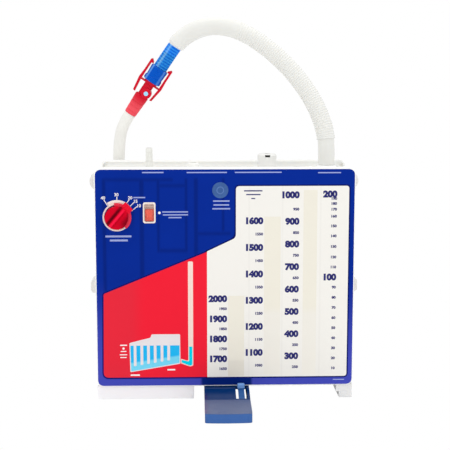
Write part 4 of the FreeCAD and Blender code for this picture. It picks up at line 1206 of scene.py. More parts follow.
    def build(self) -> list[bpy.types.Object]:
        """Lays the whole print."""
        inks = self.inks
        made = [self.field_sheet(), *self.panels()]
        for name, rectangles, layer, ink in (
            ("write_on_strips", self.strips, Layer.STRIP, inks.strip),
            ("caption_bars_pale", self.captions_pale, Layer.MARK, inks.caption),
            ("caption_bars_navy", self.captions_navy, Layer.MARK, inks.navy),
            ("caption_bars_white", self.captions_white, Layer.MARK, inks.white),
        ):
            made.append(lay(name, [rectangle(*r) for r in rectangles], layer, ink))
        made.append(lay("caption_dots", self.dots(), Layer.MARK, inks.white))
        made.append(lay("dial_ticks", self.ticks(), Layer.MARK, inks.white))
        reach = self.dial_lettering.height * 0.3
        dial = [(text, x + len(text) * reach, z) for text, _, _, (x, z) in self.dial_marks]
        made.append(self.numbers("dial_numbers", dial, self.dial_lettering, inks.white))
        for index, scale in enumerate(self.scales):
            for size, lettering, large in (
                ("large", self.large_lettering, True), ("small", self.small_lettering, False),
            ):
                name = f"scale_numbers_{index}_{size}"
                made.append(self.numbers(name, scale.numbers(large), lettering, inks.navy))
        return made


@dataclass(frozen=True)
class Finishes:
    """The plastics, rubbers and liquids of the unit."""

    case: bpy.types.Material
    white: bpy.types.Material
    bezel: bpy.types.Material
    red: bpy.types.Material
    knob: bpy.types.Material
    skirt: bpy.types.Material
    orange: bpy.types.Material
    indicator: bpy.types.Material
    indicator_ring: bpy.types.Material
    pane: bpy.types.Material
    backing: bpy.types.Material
    cream: bpy.types.Material
    cell: bpy.types.Material
    water: bpy.types.Material
    pale_water: bpy.types.Material
    port: bpy.types.Material
    grey: bpy.types.Material
    dark: bpy.types.Material
    septum: bpy.types.Material
    relief: bpy.types.Material
    blue: bpy.types.Material
    latch: bpy.types.Material
    light_blue: bpy.types.Material
    connector_blue: bpy.types.Material
    connector_red: bpy.types.Material
    hose: bpy.types.Material
    tube: bpy.types.Material
    rubber: bpy.types.Material


@dataclass(frozen=True)
class Gauges:
    """The seal column and the leak meter, seen through unprinted parts of the face."""

    finishes: Finishes
    column: tuple[Point2, ...] = (
        (-43.3, 165.2), (-43.3, 46.5), (-51.9, 49.4), (-51.9, 43.8), (-40.9, 39.8), (-37.5, 41.2),
        (-37.5, 165.2),
    )
    column_rounds: tuple[float, ...] = (1.6, 2.4, 1.0, 0.6, 4.0, 4.0, 1.6)
    column_water: tuple[Point2, ...] = (
        (-42.3, 64.0), (-42.3, 46.0), (-51.1, 48.0), (-51.1, 44.8), (-41.3, 40.8), (-38.5, 42.0),
        (-38.5, 64.0),
    )
    water_rounds: tuple[float, ...] = (0.6, 1.8, 0.5, 0.5, 3.4, 3.4, 0.6)
    meter: tuple[Point2, ...] = (
        (-111.9, 68.8), (-87.2, 75.0), (-86.0, 79.0), (-52.8, 79.0), (-52.5, 43.4), (-111.2, 33.6),
    )
    rim: float = 1.1
    water_level: float = 65.6
    bar_width: float = 3.2
    bar_places: tuple[float, ...] = (-105.4, -97.5, -89.8, -82.0, -74.0, -66.2)
    slope_gap: float = 6.2

    def floor(self, x: float) -> float:
        """Height of the meter's sloping floor at a place across the face."""
        (right_x, right_z), (left_x, left_z) = self.meter[4], self.meter[5]
        return left_z + (right_z - left_z) * (x - left_x) / (right_x - left_x)

    def water(self) -> list[Point2]:
        """Outline of the meter's water, inside its rim."""
        (right, right_foot), (left, left_foot) = self.meter[4], self.meter[5]
        right, left = right - self.rim, left + self.rim
        top_left = (self.meter[0][0] + self.rim, self.water_level)
        return [
            (left, left_foot + self.rim), (right, right_foot + self.rim),
            (right, self.water_level), top_left,
        ]

    def bars(self) -> list[list[Point2]]:
        """Outlines of the white bars that split the meter into columns."""
        half, top = self.bar_width / 2, self.water_level + 0.6
        outlines = []
        for x in self.bar_places:
            foot = self.floor(x) + self.slope_gap
            bar = [(x - half, foot), (x + half, foot + 0.4), (x + half, top), (x - half, top)]
            outlines.append(rounded_outline(bar, 0.9, 3))
        return outlines

    def build(self) -> list[bpy.types.Object]:
        """Makes the J-shaped column with water in its foot, and the leak meter."""
        finishes = self.finishes
        column = rounded_outline(self.column, self.column_rounds)
        column_water = rounded_outline(self.column_water, self.water_rounds)
        cell, water = rounded_outline(self.meter, 1.4, 4), rounded_outline(self.water(), 0.5, 2)
        return [
            lay("seal_column_window", [column], Layer.STRIP, finishes.cream),
            lay("seal_column_water", [column_water], Layer.MARK, finishes.pale_water),
            lay("leak_meter_cell_window", [cell], Layer.STRIP, finishes.cell),
            lay("leak_meter_water_window", [water], Layer.MARK, finishes.water),
            lay("leak_meter_bars", self.bars(), Layer.BAR, finishes.cell),
        ]


@dataclass(frozen=True)
class Dial:
    """The white ring and the red suction knob with its ridge, skirt and tab, in millimetres."""

    finishes: Finishes
    centre: Point2 = DIAL_CENTRE
    ring_inner: float = 14.2
    ring_outer: float = 16.3
    ring_height: float = 1.9
    ring_edge: float = 0.5
    arc_outer: float = 19.9
    arc_height: float = 1.5
    arc_from: float = 22.0
    arc_to: float = 124.0
    knob_radius: float = 13.3
    knob_top_radius: float = 12.4
    crown: float = 9.0
    height: float = 13.0
    ridge_width: float = 5.0
    ridge_angle: float = RIDGE_ANGLE
    flutes: int = 18
    flute_depth: float = 0.55
    skirt_low: float = 2.2
    skirt_high: float = 4.2
    skirt_radius: float = 16.8
    skirt_from: float = -50.0
    skirt_to: float = 100.0
    tab_angle: float = 43.0
    tab_reach: float = 19.9
    tab_width: float = 12.0
    tab_high: float = 6.2
    rib_shares: Rect = (-0.62, -0.2, 0.2, 0.62)

    def out(self, height: float) -> float:
        """Depth of a place that stands a given height off the face."""
        return face_y() / MM - height

    def polar(self, radius: float, angle: float) -> Point2:
        """A place on the face at a radius and an angle round the dial's centre."""
        turn = math.radians(angle)
        return self.centre[0] + radius * math.cos(turn), self.centre[1] + radius * math.sin(turn)

    def ring(self) -> bpy.types.Object:
        """The white ring round the knob, with rounded rims."""
        inner, outer = self.ring_inner, self.ring_outer
        top, edge = self.ring_height, self.ring_edge
        low, near = top - edge, edge * 0.3
        profile = [
            (inner, 0.0), (inner, low), (inner + near, top - near), (inner + edge, top),
            (outer - edge, top), (outer - near, top - near), (outer, low), (outer, 0.0),
            (inner, 0.0),
        ]
        mesh = Mesh()
        foot = (self.centre[0], self.out(0.0), self.centre[1])
        mesh.turned(profile, foot, VIEWER, 96)
        mesh.prism(
            self.sector(outer - 0.8, self.arc_outer, self.arc_from, self.arc_to),
            self.out(self.arc_height), self.out(0.0), 0.35, 2,
        )
        return mesh.finish("dial_ring", self.finishes.bezel, replaces=["dial_bezel"])

    def sector(self, inner: float, outer: float, start: float, end: float) -> list[Point2]:
        """Outline of a part ring round the dial's centre."""
        count = 40
        angles = [start + (end - start) * k / count for k in range(count + 1)]
        back = [self.polar(inner, a) for a in reversed(angles)]
        return [self.polar(outer, a) for a in angles] + back

    def fluted(self, radius: float, height: float, share: float) -> list[Point3]:
        """A round of the knob with flutes in it.

        Args:
            radius: Its radius between the flutes.
            height: Its height off the face.
            share: How much of the flutes' depth it has.

        Returns:
            The round's points.
        """
        steps = self.flutes * 10
        points = []
        for k in range(steps):
            angle = 360 * k / steps
            wave = max(0.0, math.cos(math.radians(angle * self.flutes)))
            x, z = self.polar(radius - wave ** 3 * self.flute_depth * share, angle)
            points.append((x, self.out(height), z))
        return points

    def knob(self) -> bpy.types.Object:
        """The knob: a fluted drum with a rounded crown and a finger ridge across it."""
        radius, top, crown = self.knob_radius, self.knob_top_radius, self.crown
        profile = [
            (radius, 0.3, 1.0), (radius, crown - 2.2, 1.0), (radius, crown - 1.4, 0.4),
            (radius - 0.15, crown - 0.6, 0.0), (top, crown, 0.0), (top - 1.4, crown + 0.15, 0.0),
        ]
        mesh = Mesh()
        mesh.lofted([self.fluted(*level) for level in profile], capped=True)
        half, wide = top - 0.7, self.ridge_width / 2
        bar = rounded_outline(rectangle(-half, half, -wide, wide), wide, 10)
        outline = turned_outline(bar, self.centre, self.ridge_angle)
        mesh.prism(outline, self.out(self.height), self.out(crown - 0.2), 1.9, 4)
        return mesh.finish(
            "dial_knob", self.finishes.knob, Body.DIAL, 40.0, replaces=["suction_dial"],
        )

    def skirt(self) -> bpy.types.Object:
        """The lighter sector skirt behind the knob."""
        inner = self.knob_radius - 1.5
        outline = self.sector(inner, self.skirt_radius, self.skirt_from, self.skirt_to)
        mesh = Mesh()
        mesh.prism(outline, self.out(self.skirt_high), self.out(self.skirt_low), 0.35, 3)
        return mesh.finish("dial_skirt", self.finishes.skirt, Body.DIAL)

    def tab(self) -> bpy.types.Object:
        """The raised tab that points at the setting, with fine ribs across it."""
        wide, angle = self.tab_width / 2, self.tab_angle
        mesh = Mesh()
        block = rectangle(self.knob_radius - 1.0, self.tab_reach, -wide, wide)
        block = turned_outline(rounded_outline(block, 0.9, 4), self.centre, angle)
        mesh.prism(block, self.out(self.tab_high), self.out(self.skirt_low), 0.5, 3)
        start, end = self.knob_radius + 0.6, self.tab_reach - 0.8
        for share in self.rib_shares:
            rib = rectangle(start, end, wide * share - 0.6, wide * share + 0.6)
            rib = turned_outline(rounded_outline(rib, 0.4, 3), self.centre, angle)
            mesh.prism(rib, self.out(self.tab_high + 0.5), self.out(self.tab_high - 0.3), 0.25, 2)
        return mesh.finish("dial_tab", self.finishes.red, Body.DIAL)

    def build(self) -> list[bpy.types.Object]:
        """Makes the whole dial."""
        return [self.ring(), self.knob(), self.skirt(), self.tab()]


@dataclass(frozen=True)
class FloatGauge:
    """The suction float's window: a white frame, a clear pane and the orange float behind it."""

    finishes: Finishes
    frame_width: float = 1.6
    corner: float = 2.6
    backing_ribs: Rect = (0.08, 0.2, 0.32, 0.44)
    float_ribs: Point3 = (0.2, 0.5, 0.8)

    @staticmethod
    def corners(node: str) -> tuple[Vector, Vector]:
        """Lowest and highest corner of a CAD node's box, in millimetres."""
        low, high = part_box(node)
        return Vector(low) / MM, Vector(high) / MM

    def opening(self) -> list[Point2]:
        """Outline of the opening inside the frame."""
        low, high = self.corners("float_window")
        t = self.frame_width
        inner = rectangle(low.x + t, high.x - t, low.z + t, high.z - t)
        return rounded_outline(inner, self.corner - t * 0.5, 8)

    def rim(self) -> bpy.types.Object:
        """The white frame, open at its back."""
        low, high = self.corners("float_window")
        face, inner = face_y() / MM, self.opening()
        outer = rounded_outline(rectangle(low.x, high.x, low.z, high.z), self.corner, 8)
        levels = ((outer, face), (outer, low.y + 0.3), (inner, low.y), (inner, face + 2.6))
        mesh = Mesh()
        mesh.lofted([(x, depth, z) for x, z in outline] for outline, depth in levels)
        return mesh.finish("float_frame", self.finishes.bezel, replaces=["float_window"])

    def pane(self) -> bpy.types.Object:
        """The clear pane inside the frame."""
        front = self.corners("float_window")[0].y
        mesh = Mesh()
        mesh.prism(self.opening(), front + 0.35, front + 0.95)
        return mesh.finish("float_pane", self.finishes.pane)

    def backing(self) -> bpy.types.Object:
        """The pale ribbed wall behind the float, whose finish has a faint painted glow."""
        low, high = self.corners("float_window")
        back = self.corners("suction_float")[1].y
        t = self.frame_width
        mesh = Mesh()
        mesh.box((low.x + t, back + 0.7, low.z + t), (high.x - t, back + 1.2, high.z - t))
        for share in self.backing_ribs:
            z = high.z - t - (high.z - low.z) * share
            mesh.box((low.x + t, back + 0.3, z - 0.35), (high.x - t, back + 0.8, z + 0.35))
        return mesh.finish("float_backing", self.finishes.backing)

    def float_body(self) -> bpy.types.Object:
        """The orange float, with ribs down its front."""
        low, high = self.corners("suction_float")
        mesh = Mesh()
        across = rounded_outline(rectangle(low.x, high.x, low.z, high.z), 0.8, 4)
        mesh.prism(across, low.y, high.y, 0.6, 3)
        for share in self.float_ribs:
            x = low.x + (high.x - low.x) * share
            rib = rounded_outline(rectangle(x - 0.5, x + 0.5, low.z + 1.0, high.z - 1.0), 0.4, 3)
            mesh.prism(rib, low.y - 0.35, low.y + 0.2, 0.2, 2)
        return mesh.finish(
            "float_body", self.finishes.orange, Body.FLOAT, replaces=["suction_float"],
        )

    def build(self) -> list[bpy.types.Object]:
        """Makes the frame, the backing, the pane and the float."""
        return [self.rim(), self.backing(), self.pane(), self.float_body()]


@dataclass(frozen=True)
class Indicator:
    """The round pressure indicator with its moulded ring."""

    finishes: Finishes
    centre: Point2 = (-5.8, 248.1)
    window: tuple[Point2, ...] = (
        (9.3, 0.0), (9.3, 0.5), (8.8, 0.9), (8.2, 1.0), (7.3, 0.8), (4.6, 0.7), (4.2, 0.95),
        (3.5, 0.95), (3.1, 0.65), (0.0, 0.6),
    )
    mark: tuple[Point2, ...] = ((3.2, 0.6), (3.4, 1.0), (4.3, 1.0), (4.5, 0.6))

    def build(self) -> list[bpy.types.Object]:
        """Makes the tinted window and the ring on it."""
        origin = (self.centre[0], face_y() / MM, self.centre[1])
        window, mark = Mesh(), Mesh()
        window.turned(self.window, origin, VIEWER, 72)
        mark.turned(self.mark, origin, VIEWER, 60)
        return [
            window.finish(
                "indicator_window", self.finishes.indicator, smooth=50.0,
                replaces=["indicator_lens"],
            ),
            mark.finish("indicator_mark", self.finishes.indicator_ring, smooth=50.0),
        ]


class Route:
    """A cord's centreline, as one smooth spline through control points given in metres."""

    def __init__(self, name: str, points: Sequence[Vector]) -> None:
        """Makes the spline as a curve object's data.

        Args:
            name: Name of the curve.
            points: Its control points.
        """
        self.name = name
        self.curve = bpy.data.curves.new(name, "CURVE")
        self.curve.dimensions = "3D"
        self.curve.resolution_u = 12
        spline = self.curve.splines.new("NURBS")
        spline.points.add(len(points) - 1)
        for slot, point in zip(spline.points, points):
            slot.co = (*point, 1.0)
        spline.order_u = 3
        spline.use_endpoint_u = True

    def sampled(self) -> list[Vector]:
        """Points along the spline, close together."""
        helper = bpy.data.objects.new(self.name, self.curve)
        bpy.context.collection.objects.link(helper)
        bpy.context.view_layer.update()
        graph = bpy.context.evaluated_depsgraph_get()
        mesh = bpy.data.meshes.new_from_object(helper.evaluated_get(graph))
        points = [vert.co.copy() for vert in mesh.vertices]
        bpy.data.meshes.remove(mesh)
        bpy.data.objects.remove(helper)
        return points

    @staticmethod
    def length(points: Sequence[Vector]) -> float:
        """Length of a chain of points."""
        return sum((b - a).length for a, b in zip(points, points[1:]))


def even_points(points: Sequence[Vector], places: Sequence[float]) -> list[Vector]:
    """Points at given distances along a chain.

    Args:
        points: The chain.
        places: Distances from its start, in rising order.

    Returns:
        One point for each place.
    """
    found = []
    run = 0.0
    index = 0
    for place in places:
        step = points[index + 1] - points[index]
        while index < len(points) - 2 and run + step.length < place:
            run += step.length
            index += 1
            step = points[index + 1] - points[index]
        share = (place - run) / max(step.length, 1e-9)
        found.append(points[index] + step * min(max(share, 0.0), 1.0))
    return found


def tube_along(
    name: str, points: Sequence[Vector], radius: Callable[[float], float], step: float, sides: int,
    material: bpy.types.Material, bore: float = 0.0,
) -> bpy.types.Object:
    """A tube whose radius changes along a centreline.

    Args:
        name: Name of the piece.
        points: The centreline.
        radius: Gives the radius at a distance from the start, all in metres.
        step: Distance between rings.
        sides: Sides of each ring.
        material: The tube's finish.
        bore: Radius of the open ends, or 0 for closed ones.

    Returns:
        The finished tube.
    """
    total = Route.length(points)
    count = max(2, round(total / step))
    places = [total * k / count for k in range(count + 1)]
    centres = even_points(points, places)
    bm = bmesh.new()
    side = Vector((0, 1, 0))
    rings = []
    for k, (place, centre) in enumerate(zip(places, centres)):
        ahead = centres[min(k + 1, count)] - centres[max(k - 1, 0)]
        along = ahead.normalized()
        side = (side - along * side.dot(along)).normalized()
        other = along.cross(side)
        wide = radius(place)
        rings.append([
            bm.verts.new(centre + (side * math.cos(turn) + other * math.sin(turn)) * wide)
            for turn in (math.tau * s / sides for s in range(sides))
        ])
    for low, high in zip(rings, rings[1:]):
        for s in range(sides):
            t = (s + 1) % sides
            bm.faces.new((low[s], low[t], high[t], high[s]))
    for ring, centre in ((rings[0], centres[0]), (rings[-1], centres[-1])):
        face = bm.faces.new(ring)
        if bore:
            wide = (ring[0].co - centre).length
            bmesh.ops.inset_region(bm, faces=[face], thickness=wide - bore)
    bmesh.ops.recalc_face_normals(bm, faces=bm.faces[:])
    for face in bm.faces:
        face.smooth = len(face.verts) == 4
    return finished_object(name, bm, material, Body.CASE)


@dataclass(frozen=True)
class Tubing:
    """The corrugated hose, its connector and the plain tube with its coil, in millimetres."""

    finishes: Finishes
    hose_route: tuple[Point3, ...] = (
        (121.8, 47.0, 272.0), (121.8, 47.0, 289.0), (121.2, 49.0, 305.0),
        (117.9, 52.0, 321.5), (109.8, 57.0, 341.5), (98.6, 62.0, 361.0),
        (84.4, 67.0, 380.0), (66.6, 72.0, 398.5), (47.5, 76.0, 414.5),
        (27.5, 79.5, 427.5), (7.0, 83.0, 435.5), (-13.0, 86.5, 437.5),
        (-30.5, 89.5, 433.6), (-45.8, 92.0, 425.6),
    )
    tube_route: tuple[Point3, ...] = (
        (-128.2, 106.0, 299.5), (-130.0, 108.0, 270.0), (-129.2, 108.6, 229.0),
        (-128.4, 108.0, 185.0), (-129.0, 108.4, 142.0), (-127.2, 108.0, 104.0),
        (-120.0, 107.6, 68.0), (-103.0, 108.2, 36.0), (-76.0, 107.6, 13.5),
        (-48.0, 108.2, 7.25), (-24.0, 108.0, 7.25),
    )
    connector_foot: Point3 = (-114.6, 102.2, 330.6)
    connector_head: Point3 = (-65.6, 95.0, 403.0)
    hose_lead: float = 14.5
    tube_lead: float = 15.6
    socket_top: float = 67.4
    cuff_radius: float = 8.6
    cuff_bore: float = 8.1
    stretched: float = 12.0
    port_radius: float = 9.8
    hose_radius: float = 11.0
    hose_bore: float = 8.5
    hose_sides: int = 48
    rings_per_ridge: int = 8
    tube_radius: float = 7.25
    tube_bore: float = 4.5
    tube_step: float = 4.0
    tube_sides: int = 32
    ridge_pitch: float = 2.8
    ridge_depth: float = 0.5
    port_cuff: float = 31.0
    connector_cuff: float = 96.0
    coil_centre: Point2 = (0.0, 177.5)
    coil_radius: float = 77.0
    coil_entry: float = 270.0
    coil_exit: float = 60.0
    coil_step: float = 15.0
    rise_from: float = 300.0
    rise_turn: float = 60.0

    @staticmethod
    def behind_face(point: Sequence[float]) -> Vector:
        """A point given with its distance behind the face, in metres in the row frame."""
        return Vector((point[0] * MM, face_y() + point[1] * MM, point[2] * MM))

    def axis(self) -> Vector:
        """Direction from the plain tube's end to the corrugated hose's end."""
        head = self.behind_face(self.connector_head)
        return (head - self.behind_face(self.connector_foot)).normalized()

    def hose_profile(self, total: float) -> Callable[[float], float]:
        """The corrugated hose's radius along its length.

        Args:
            total: Length of the hose, in metres.

        Returns:
            A function from a distance along the hose to its radius.
        """
        first = self.port_cuff * MM
        last = total - self.connector_cuff * MM
        smooth = 3 * MM

        def radius(place: float) -> float:
            """Radius at a distance along the hose, both in metres."""
            inside = min(max((place - first) / smooth, 0.0), 1.0)
            inside *= min(max((last - place) / smooth, 0.0), 1.0)
            wave = math.cos(math.tau * (place - first) / (self.ridge_pitch * MM))
            wide = self.hose_radius - inside * self.ridge_depth * (0.5 - 0.5 * wave)
            if place < first:
                return self.port_radius * MM
            end = min(max((total - place) / MM - self.stretched, 0.0) / 3.0, 1.0)
            return (self.cuff_radius + (wide - self.cuff_radius) * end) * MM
        return radius

    def hose(self) -> list[bpy.types.Object]:
        """The corrugated hose from its port to the connector, and its clear end."""
        head = self.behind_face(self.connector_head)
        points = [self.behind_face(p) for p in self.hose_route]
        points += [head + self.axis() * self.hose_lead * MM, head]
        line = Route("hose_line", points).sampled()
        total = Route.length(line)
        obj = tube_along(
            "corrugated_hose", line, self.hose_profile(total),
            self.ridge_pitch * MM / self.rings_per_ridge, self.hose_sides,
            self.finishes.hose, bore=self.hose_bore * MM,
        )
        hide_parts("patient_hose")
        cuff = self.cuff()
        2 * self.hose_radius * MM
        return [obj, cuff]

    def cuff(self) -> bpy.types.Object:
        """The hose's clear end, stretched over the connector's barbs."""
        foot = self.behind_face(self.connector_foot)
        head = self.behind_face(self.connector_head)
        top = (head - foot).length / MM
        outer, inner = self.cuff_radius, self.cuff_bore
        low, high = self.socket_top + 0.3, top - 0.1
        profile = [(inner, low), (outer, low), (outer, high), (inner, high), (inner, low)]
        mesh = Mesh()
        mesh.turned(profile, tuple(foot / MM), tuple(self.axis()), 48)
        return mesh.finish("hose_cuff", self.finishes.hose)

    def coil_points(self) -> list[Vector]:
        """Control points of the coil: two layers, with a rise between them."""
        turns = self.coil_exit + 360 + 360 - self.coil_entry
        count = round(turns / self.coil_step)
        points = []
        for k in range(1, count + 1):
            turned = turns * k / count
            angle = math.radians(self.coil_entry + turned)
            rise = min(max((turned - self.rise_from) / self.rise_turn, 0.0), 1.0)
            rise = rise * rise * (3 - 2 * rise)
            height = self.tube_radius * (1 + 2 * rise)
            points.append(Vector((
                (self.coil_centre[0] + self.coil_radius * math.cos(angle)) * MM,
                (self.coil_centre[1] + self.coil_radius * math.sin(angle)) * MM,
                height * MM,
            )))
        return points

    def tube(self) -> bpy.types.Object:
        """The plain tube from the connector down to the floor and round its coil."""
        foot = self.behind_face(self.connector_foot)
        points = [foot, foot - self.axis() * self.tube_lead * MM]
        points += [self.behind_face(p) for p in self.tube_route]
        entry = (self.coil_centre[0], self.coil_centre[1] - self.coil_radius, self.tube_radius)
        points.append(Vector(entry) * MM)
        points += self.coil_points()
        line = Route("tube_line", points).sampled()
        total = Route.length(line)
        obj = tube_along(
            "patient_tubing", line, lambda place: self.tube_radius * MM, self.tube_step * MM,
            self.tube_sides, self.finishes.tube, bore=self.tube_bore * MM,
        )
        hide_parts("patient_tube", "tube_coil")
        2 * self.tube_radius * MM
        return obj

    def build(self) -> list[bpy.types.Object]:
        """Makes both cords."""
        return [*self.hose(), self.tube()]


@dataclass(frozen=True)
class Lamp:
    """A soft square lamp: where it stands, its side and its power, in metres and watts."""

    name: str
    place: Point3
    size: float
    power: float

    def light(self, aim: Point3) -> None:
        """Adds the lamp.

        Args:
            aim: The point that it faces.
        """
        data = bpy.data.lights.new(self.name, "AREA")
        data.shape = "SQUARE"
        data.size = self.size
        data.energy = self.power
        obj = bpy.data.objects.new(self.name, data)
        obj.location = self.place
        way = Vector(aim) - Vector(self.place)
        obj.rotation_euler = way.to_track_quat("-Z", "Y").to_euler()
        bpy.context.collection.objects.link(obj)


@dataclass(frozen=True)
class Studio:
    """Camera, lights, floor and background."""

    camera_place: Point3 = (-0.0318, -1.1435, 0.3974)
    pitch_down: float = 7.414
    yaw: float = -1.585
    lens: float = 80.0
    shift_up: float = -0.08
    floor_half: float = 6.0
    sky_strength: float = 0.84
    aim: Point3 = (0.0, 0.0, 0.2)
    lamps: tuple[Lamp, ...] = (
        Lamp("key", (-0.9, -1.5, 1.5), 1.2, 7.0), Lamp("fill", (1.3, -1.2, 0.9), 1.4, 3.2),
        Lamp("top", (0.1, 0.2, 1.8), 1.4, 9.5),
    )

    def camera(self) -> None:
        """The photograph's own view."""
        data = bpy.data.cameras.new("photo_camera")
        data.lens = self.lens
        data.sensor_width = 36.0
        data.shift_y = self.shift_up
        obj = bpy.data.objects.new("photo_camera", data)
        obj.location = self.camera_place
        obj.rotation_euler = (math.radians(90 - self.pitch_down), 0, math.radians(self.yaw))
        bpy.context.collection.objects.link(obj)
        bpy.context.scene.camera = obj

    def floor(self) -> None:
        """A wide white floor that ends in the background."""
        mesh = bpy.data.meshes.new("floor")
        grid = bmesh.new()
        bmesh.ops.create_grid(grid, x_segments=1, y_segments=1, size=self.floor_half)
        grid.to_mesh(mesh)
        grid.free()
        obj = bpy.data.objects.new("floor", mesh)
        bpy.context.collection.objects.link(obj)
        nodes = ShaderNodes("floor_white")
        grain = nodes.noise(8.0, 3.0)
        nodes.set(
            Base_Color=nodes.mix(grain, (0.93, 0.93, 0.93), (0.97, 0.97, 0.97)), Roughness=0.7,
            Specular_IOR_Level=0.1,
        )
        lit = nodes.tree.nodes.new("ShaderNodeEmission")
        lit.inputs["Color"].default_value = (1.0, 1.0, 1.0, 1.0)
        path = nodes.tree.nodes.new("ShaderNodeLightPath")
        seen = nodes.tree.nodes.new("ShaderNodeMixShader")
        nodes.tree.links.new(path.outputs["Is Camera Ray"], seen.inputs[0])
        nodes.tree.links.new(nodes.shader.outputs[0], seen.inputs[1])
        nodes.tree.links.new(lit.outputs[0], seen.inputs[2])
        nodes.tree.links.new(seen.outputs[0], nodes.output.inputs["Surface"])
        obj.data.materials.append(nodes.material)

    def world(self) -> None:
        """A white background with soft light of its own."""
        world = bpy.data.worlds.new("studio")
        world.use_nodes = True
        tree = world.node_tree
        background = tree.nodes["Background"]
        background.inputs["Color"].default_value = (1.0, 1.0, 1.0, 1.0)
        background.inputs["Strength"].default_value = self.sky_strength
        seen = tree.nodes.new("ShaderNodeBackground")
        seen.inputs["Color"].default_value = (1.0, 1.0, 1.0, 1.0)
        seen.inputs["Strength"].default_value = 1.0
        path = tree.nodes.new("ShaderNodeLightPath")
        mix = tree.nodes.new("ShaderNodeMixShader")
        tree.links.new(path.outputs["Is Camera Ray"], mix.inputs[0])
        tree.links.new(background.outputs[0], mix.inputs[1])
        tree.links.new(seen.outputs[0], mix.inputs[2])
        tree.links.new(mix.outputs[0], tree.nodes["World Output"].inputs[0])
        bpy.context.scene.world = world

    def build(self) -> None:
        """Sets everything up."""
        bpy.context.scene.view_settings.view_transform = "Standard"
        self.camera()
        self.floor()
        self.world()
        for lamp in self.lamps:
            lamp.light(self.aim)


def make_finishes() -> Finishes:
    """Every finish of the unit's pieces."""
    return Finishes(
        case=CaseWhite().material(),
        white=Moulding("white_moulding", srgb(244, 244, 240), 0.35, specular=0.2).material(),
        bezel=Moulding("dial_ring_white", srgb(238, 227, 219), 0.35, specular=0.15).material(),
        red=Moulding("dial_red", srgb(232, 10, 48), 0.3, grain=0.05, specular=0.1).material(),
        knob=KnobRed().material(),
        skirt=Moulding("skirt_red", srgb(228, 50, 76), 0.35, specular=0.1).material(),
        orange=Moulding("float_orange", srgb(255, 84, 50), 0.45, specular=0.1).material(),
        indicator=Moulding(
            "indicator_blue", srgb(60, 94, 150), 0.35, specular=0.1, mottle=0.2, mottle_scale=300.0,
        ).material(),
        indicator_ring=Moulding(
            "indicator_ring", srgb(88, 120, 176), 0.35, specular=0.1,
        ).material(),
        pane=Moulding(
            "float_pane_clear", srgb(246, 240, 238), 0.1, specular=0.05, alpha=0.04,
        ).material(),
        # The backing's faint glow is painted light, in place of light coming through the case
        # behind the float.
        backing=Moulding(
            "float_backing", srgb(255, 236, 222), 0.5, specular=0.05, glow=0.2,
        ).material(),
        cream=Moulding("column_cream", srgb(240, 214, 204), 0.35, specular=0.15).material(),
        cell=Moulding("cell_white", srgb(226, 221, 223), 0.3, specular=0.15).material(),
        water=DyedWater().material(),
        pale_water=Moulding("pale_water", srgb(0, 206, 226), 0.2, specular=0.03).material(),
        port=Moulding("port_milky", srgb(232, 232, 227), 0.4, specular=0.1).material(),
        grey=Moulding("port_grey", srgb(186, 188, 190), 0.4).material(),
        dark=Moulding("dark_rubber", srgb(60, 66, 80), 0.5).material(),
        septum=Moulding("septum_green", srgb(206, 208, 200), 0.5).material(),
        relief=ReliefCap().material(),
        blue=StandBlue().material(),
        latch=LatchBlue().material(),
        light_blue=Moulding("septum_blue", srgb(160, 218, 250), 0.35, specular=0.1).material(),
        connector_blue=ConnectorBlue().material(),
        connector_red=ConnectorRed().material(),
        hose=MilkyHose().material(),
        tube=Moulding("tube_milky", srgb(234, 233, 228), 0.3, specular=0.15, grain=0.02).material(),
        rubber=Moulding("grey_rubber", srgb(150, 152, 156), 0.55).material(),
    )


def make_inks() -> Inks:
    """Every ink of the print."""
    return Inks(
        blue=BlueInk().material(), red=RedInk().material(), window=WindowBacking().material(),
        strip=WriteOnStrip().material(),
        white=Moulding("white_ink", srgb(245, 240, 240), 0.4).material(),
        navy=Moulding("navy_ink", srgb(22, 24, 104), 0.4).material(),
        caption=Moulding("caption_ink", srgb(150, 162, 212), 0.4).material(),
        groove=Moulding("groove_ink", srgb(4, 18, 96), 0.4, specular=0.04).material(),
    )


def marks_down(first: int, step: int, top: float, pitch: float, count: int) -> list[Mark]:
    """Numbers that fall by a step, each a pitch below the one before.

    Args:
        first: The highest number.
        step: How much each number falls.
        top: Height of the highest number on the face.
        pitch: Distance between two numbers.
        count: How many there are.

    Returns:
        Each number with its height.
    """
    return [(first - step * k, top - pitch * k) for k in range(count)]


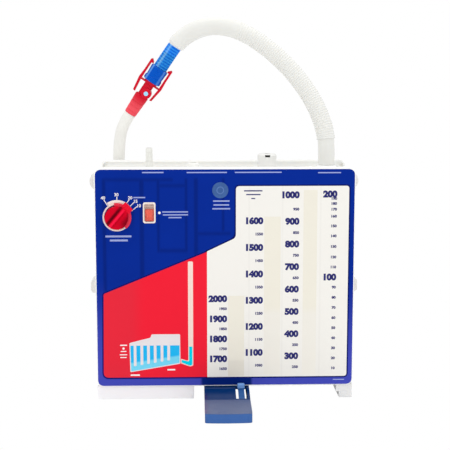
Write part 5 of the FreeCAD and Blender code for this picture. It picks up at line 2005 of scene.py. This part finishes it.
def make_scales() -> tuple[Scale, ...]:
    """The four columns of numbers, from their printed spacing."""
    narrow = (243.4, 238.1, 232.3, 225.6, 217.5, 206.1, 194.4, 182.0, 169.6, 157.8)
    fine = [(200 - 10 * k, z) for k, z in enumerate(narrow)]
    fine += marks_down(100, 10, 146.0, 12.13, 10)
    second = [(1000, 242.6), (950, 225.9)] + marks_down(900, 50, 211.8, 13.32, 14)
    third = marks_down(1600, 50, 212.6, 15.62, 12)
    fourth = marks_down(2000, 50, 121.0, 12.0, 8)
    columns = ((128.6, fine), (85.1, second), (43.4, third), (1.7, fourth))
    return tuple(Scale(right, tuple(marks)) for right, marks in columns)


def paint(node: str, material: bpy.types.Material) -> None:
    """Gives a CAD node another finish."""
    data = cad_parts[node].data
    data.materials.clear()
    data.materials.append(material)


def paint_nodes(finishes: Finishes) -> None:
    """Gives the CAD pieces that stay in view their finishes.

    Args:
        finishes: The unit's plastics, rubbers and liquids.
    """
    choice = {
        "face_plate": finishes.case, "chamber_body": finishes.case, "rear_plate": finishes.case,
        "float_cage": finishes.bezel,
        "suction_port": finishes.port, "injection_port": finishes.white,
        "injection_septum": finishes.septum,
        "relief_valve_housing": finishes.relief, "relief_button": finishes.dark,
        "positive_relief_valve": finishes.rubber, "patient_port": finishes.case,
        "floor_stand": finishes.blue, "stand_latch": finishes.latch, "stand_pin": finishes.grey,
        "connector_socket": finishes.connector_blue, "connector_plug": finishes.connector_red,
        "sample_port_plug": finishes.light_blue, "patient_connector": finishes.case,
        "hanger_left": finishes.case, "hanger_right": finishes.case,
        "hanger_pin_left": finishes.white, "hanger_pin_right": finishes.white,
    }
    for node, material in choice.items():
        paint(node, material)


def soften_springs() -> None:
    """Gives the two springy pieces meshes of their own."""
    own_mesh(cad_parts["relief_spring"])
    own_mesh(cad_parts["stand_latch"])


def main() -> None:
    """Builds the scene."""
    logging.basicConfig(level=logging.INFO)
    finishes = make_finishes()
    paint_nodes(finishes)
    for assembly in (
        Print(make_inks(), make_scales()), Gauges(finishes), Dial(finishes),
        FloatGauge(finishes), Indicator(finishes), Tubing(finishes),
    ):
        for piece in assembly.build():
            faces = len(piece.data.polygons)
            LOG.info("%s: %s, %d faces", type(assembly).__name__, piece.name, faces)
    soften_springs()
    Studio().build()


if __name__ == "__main__":
    main()
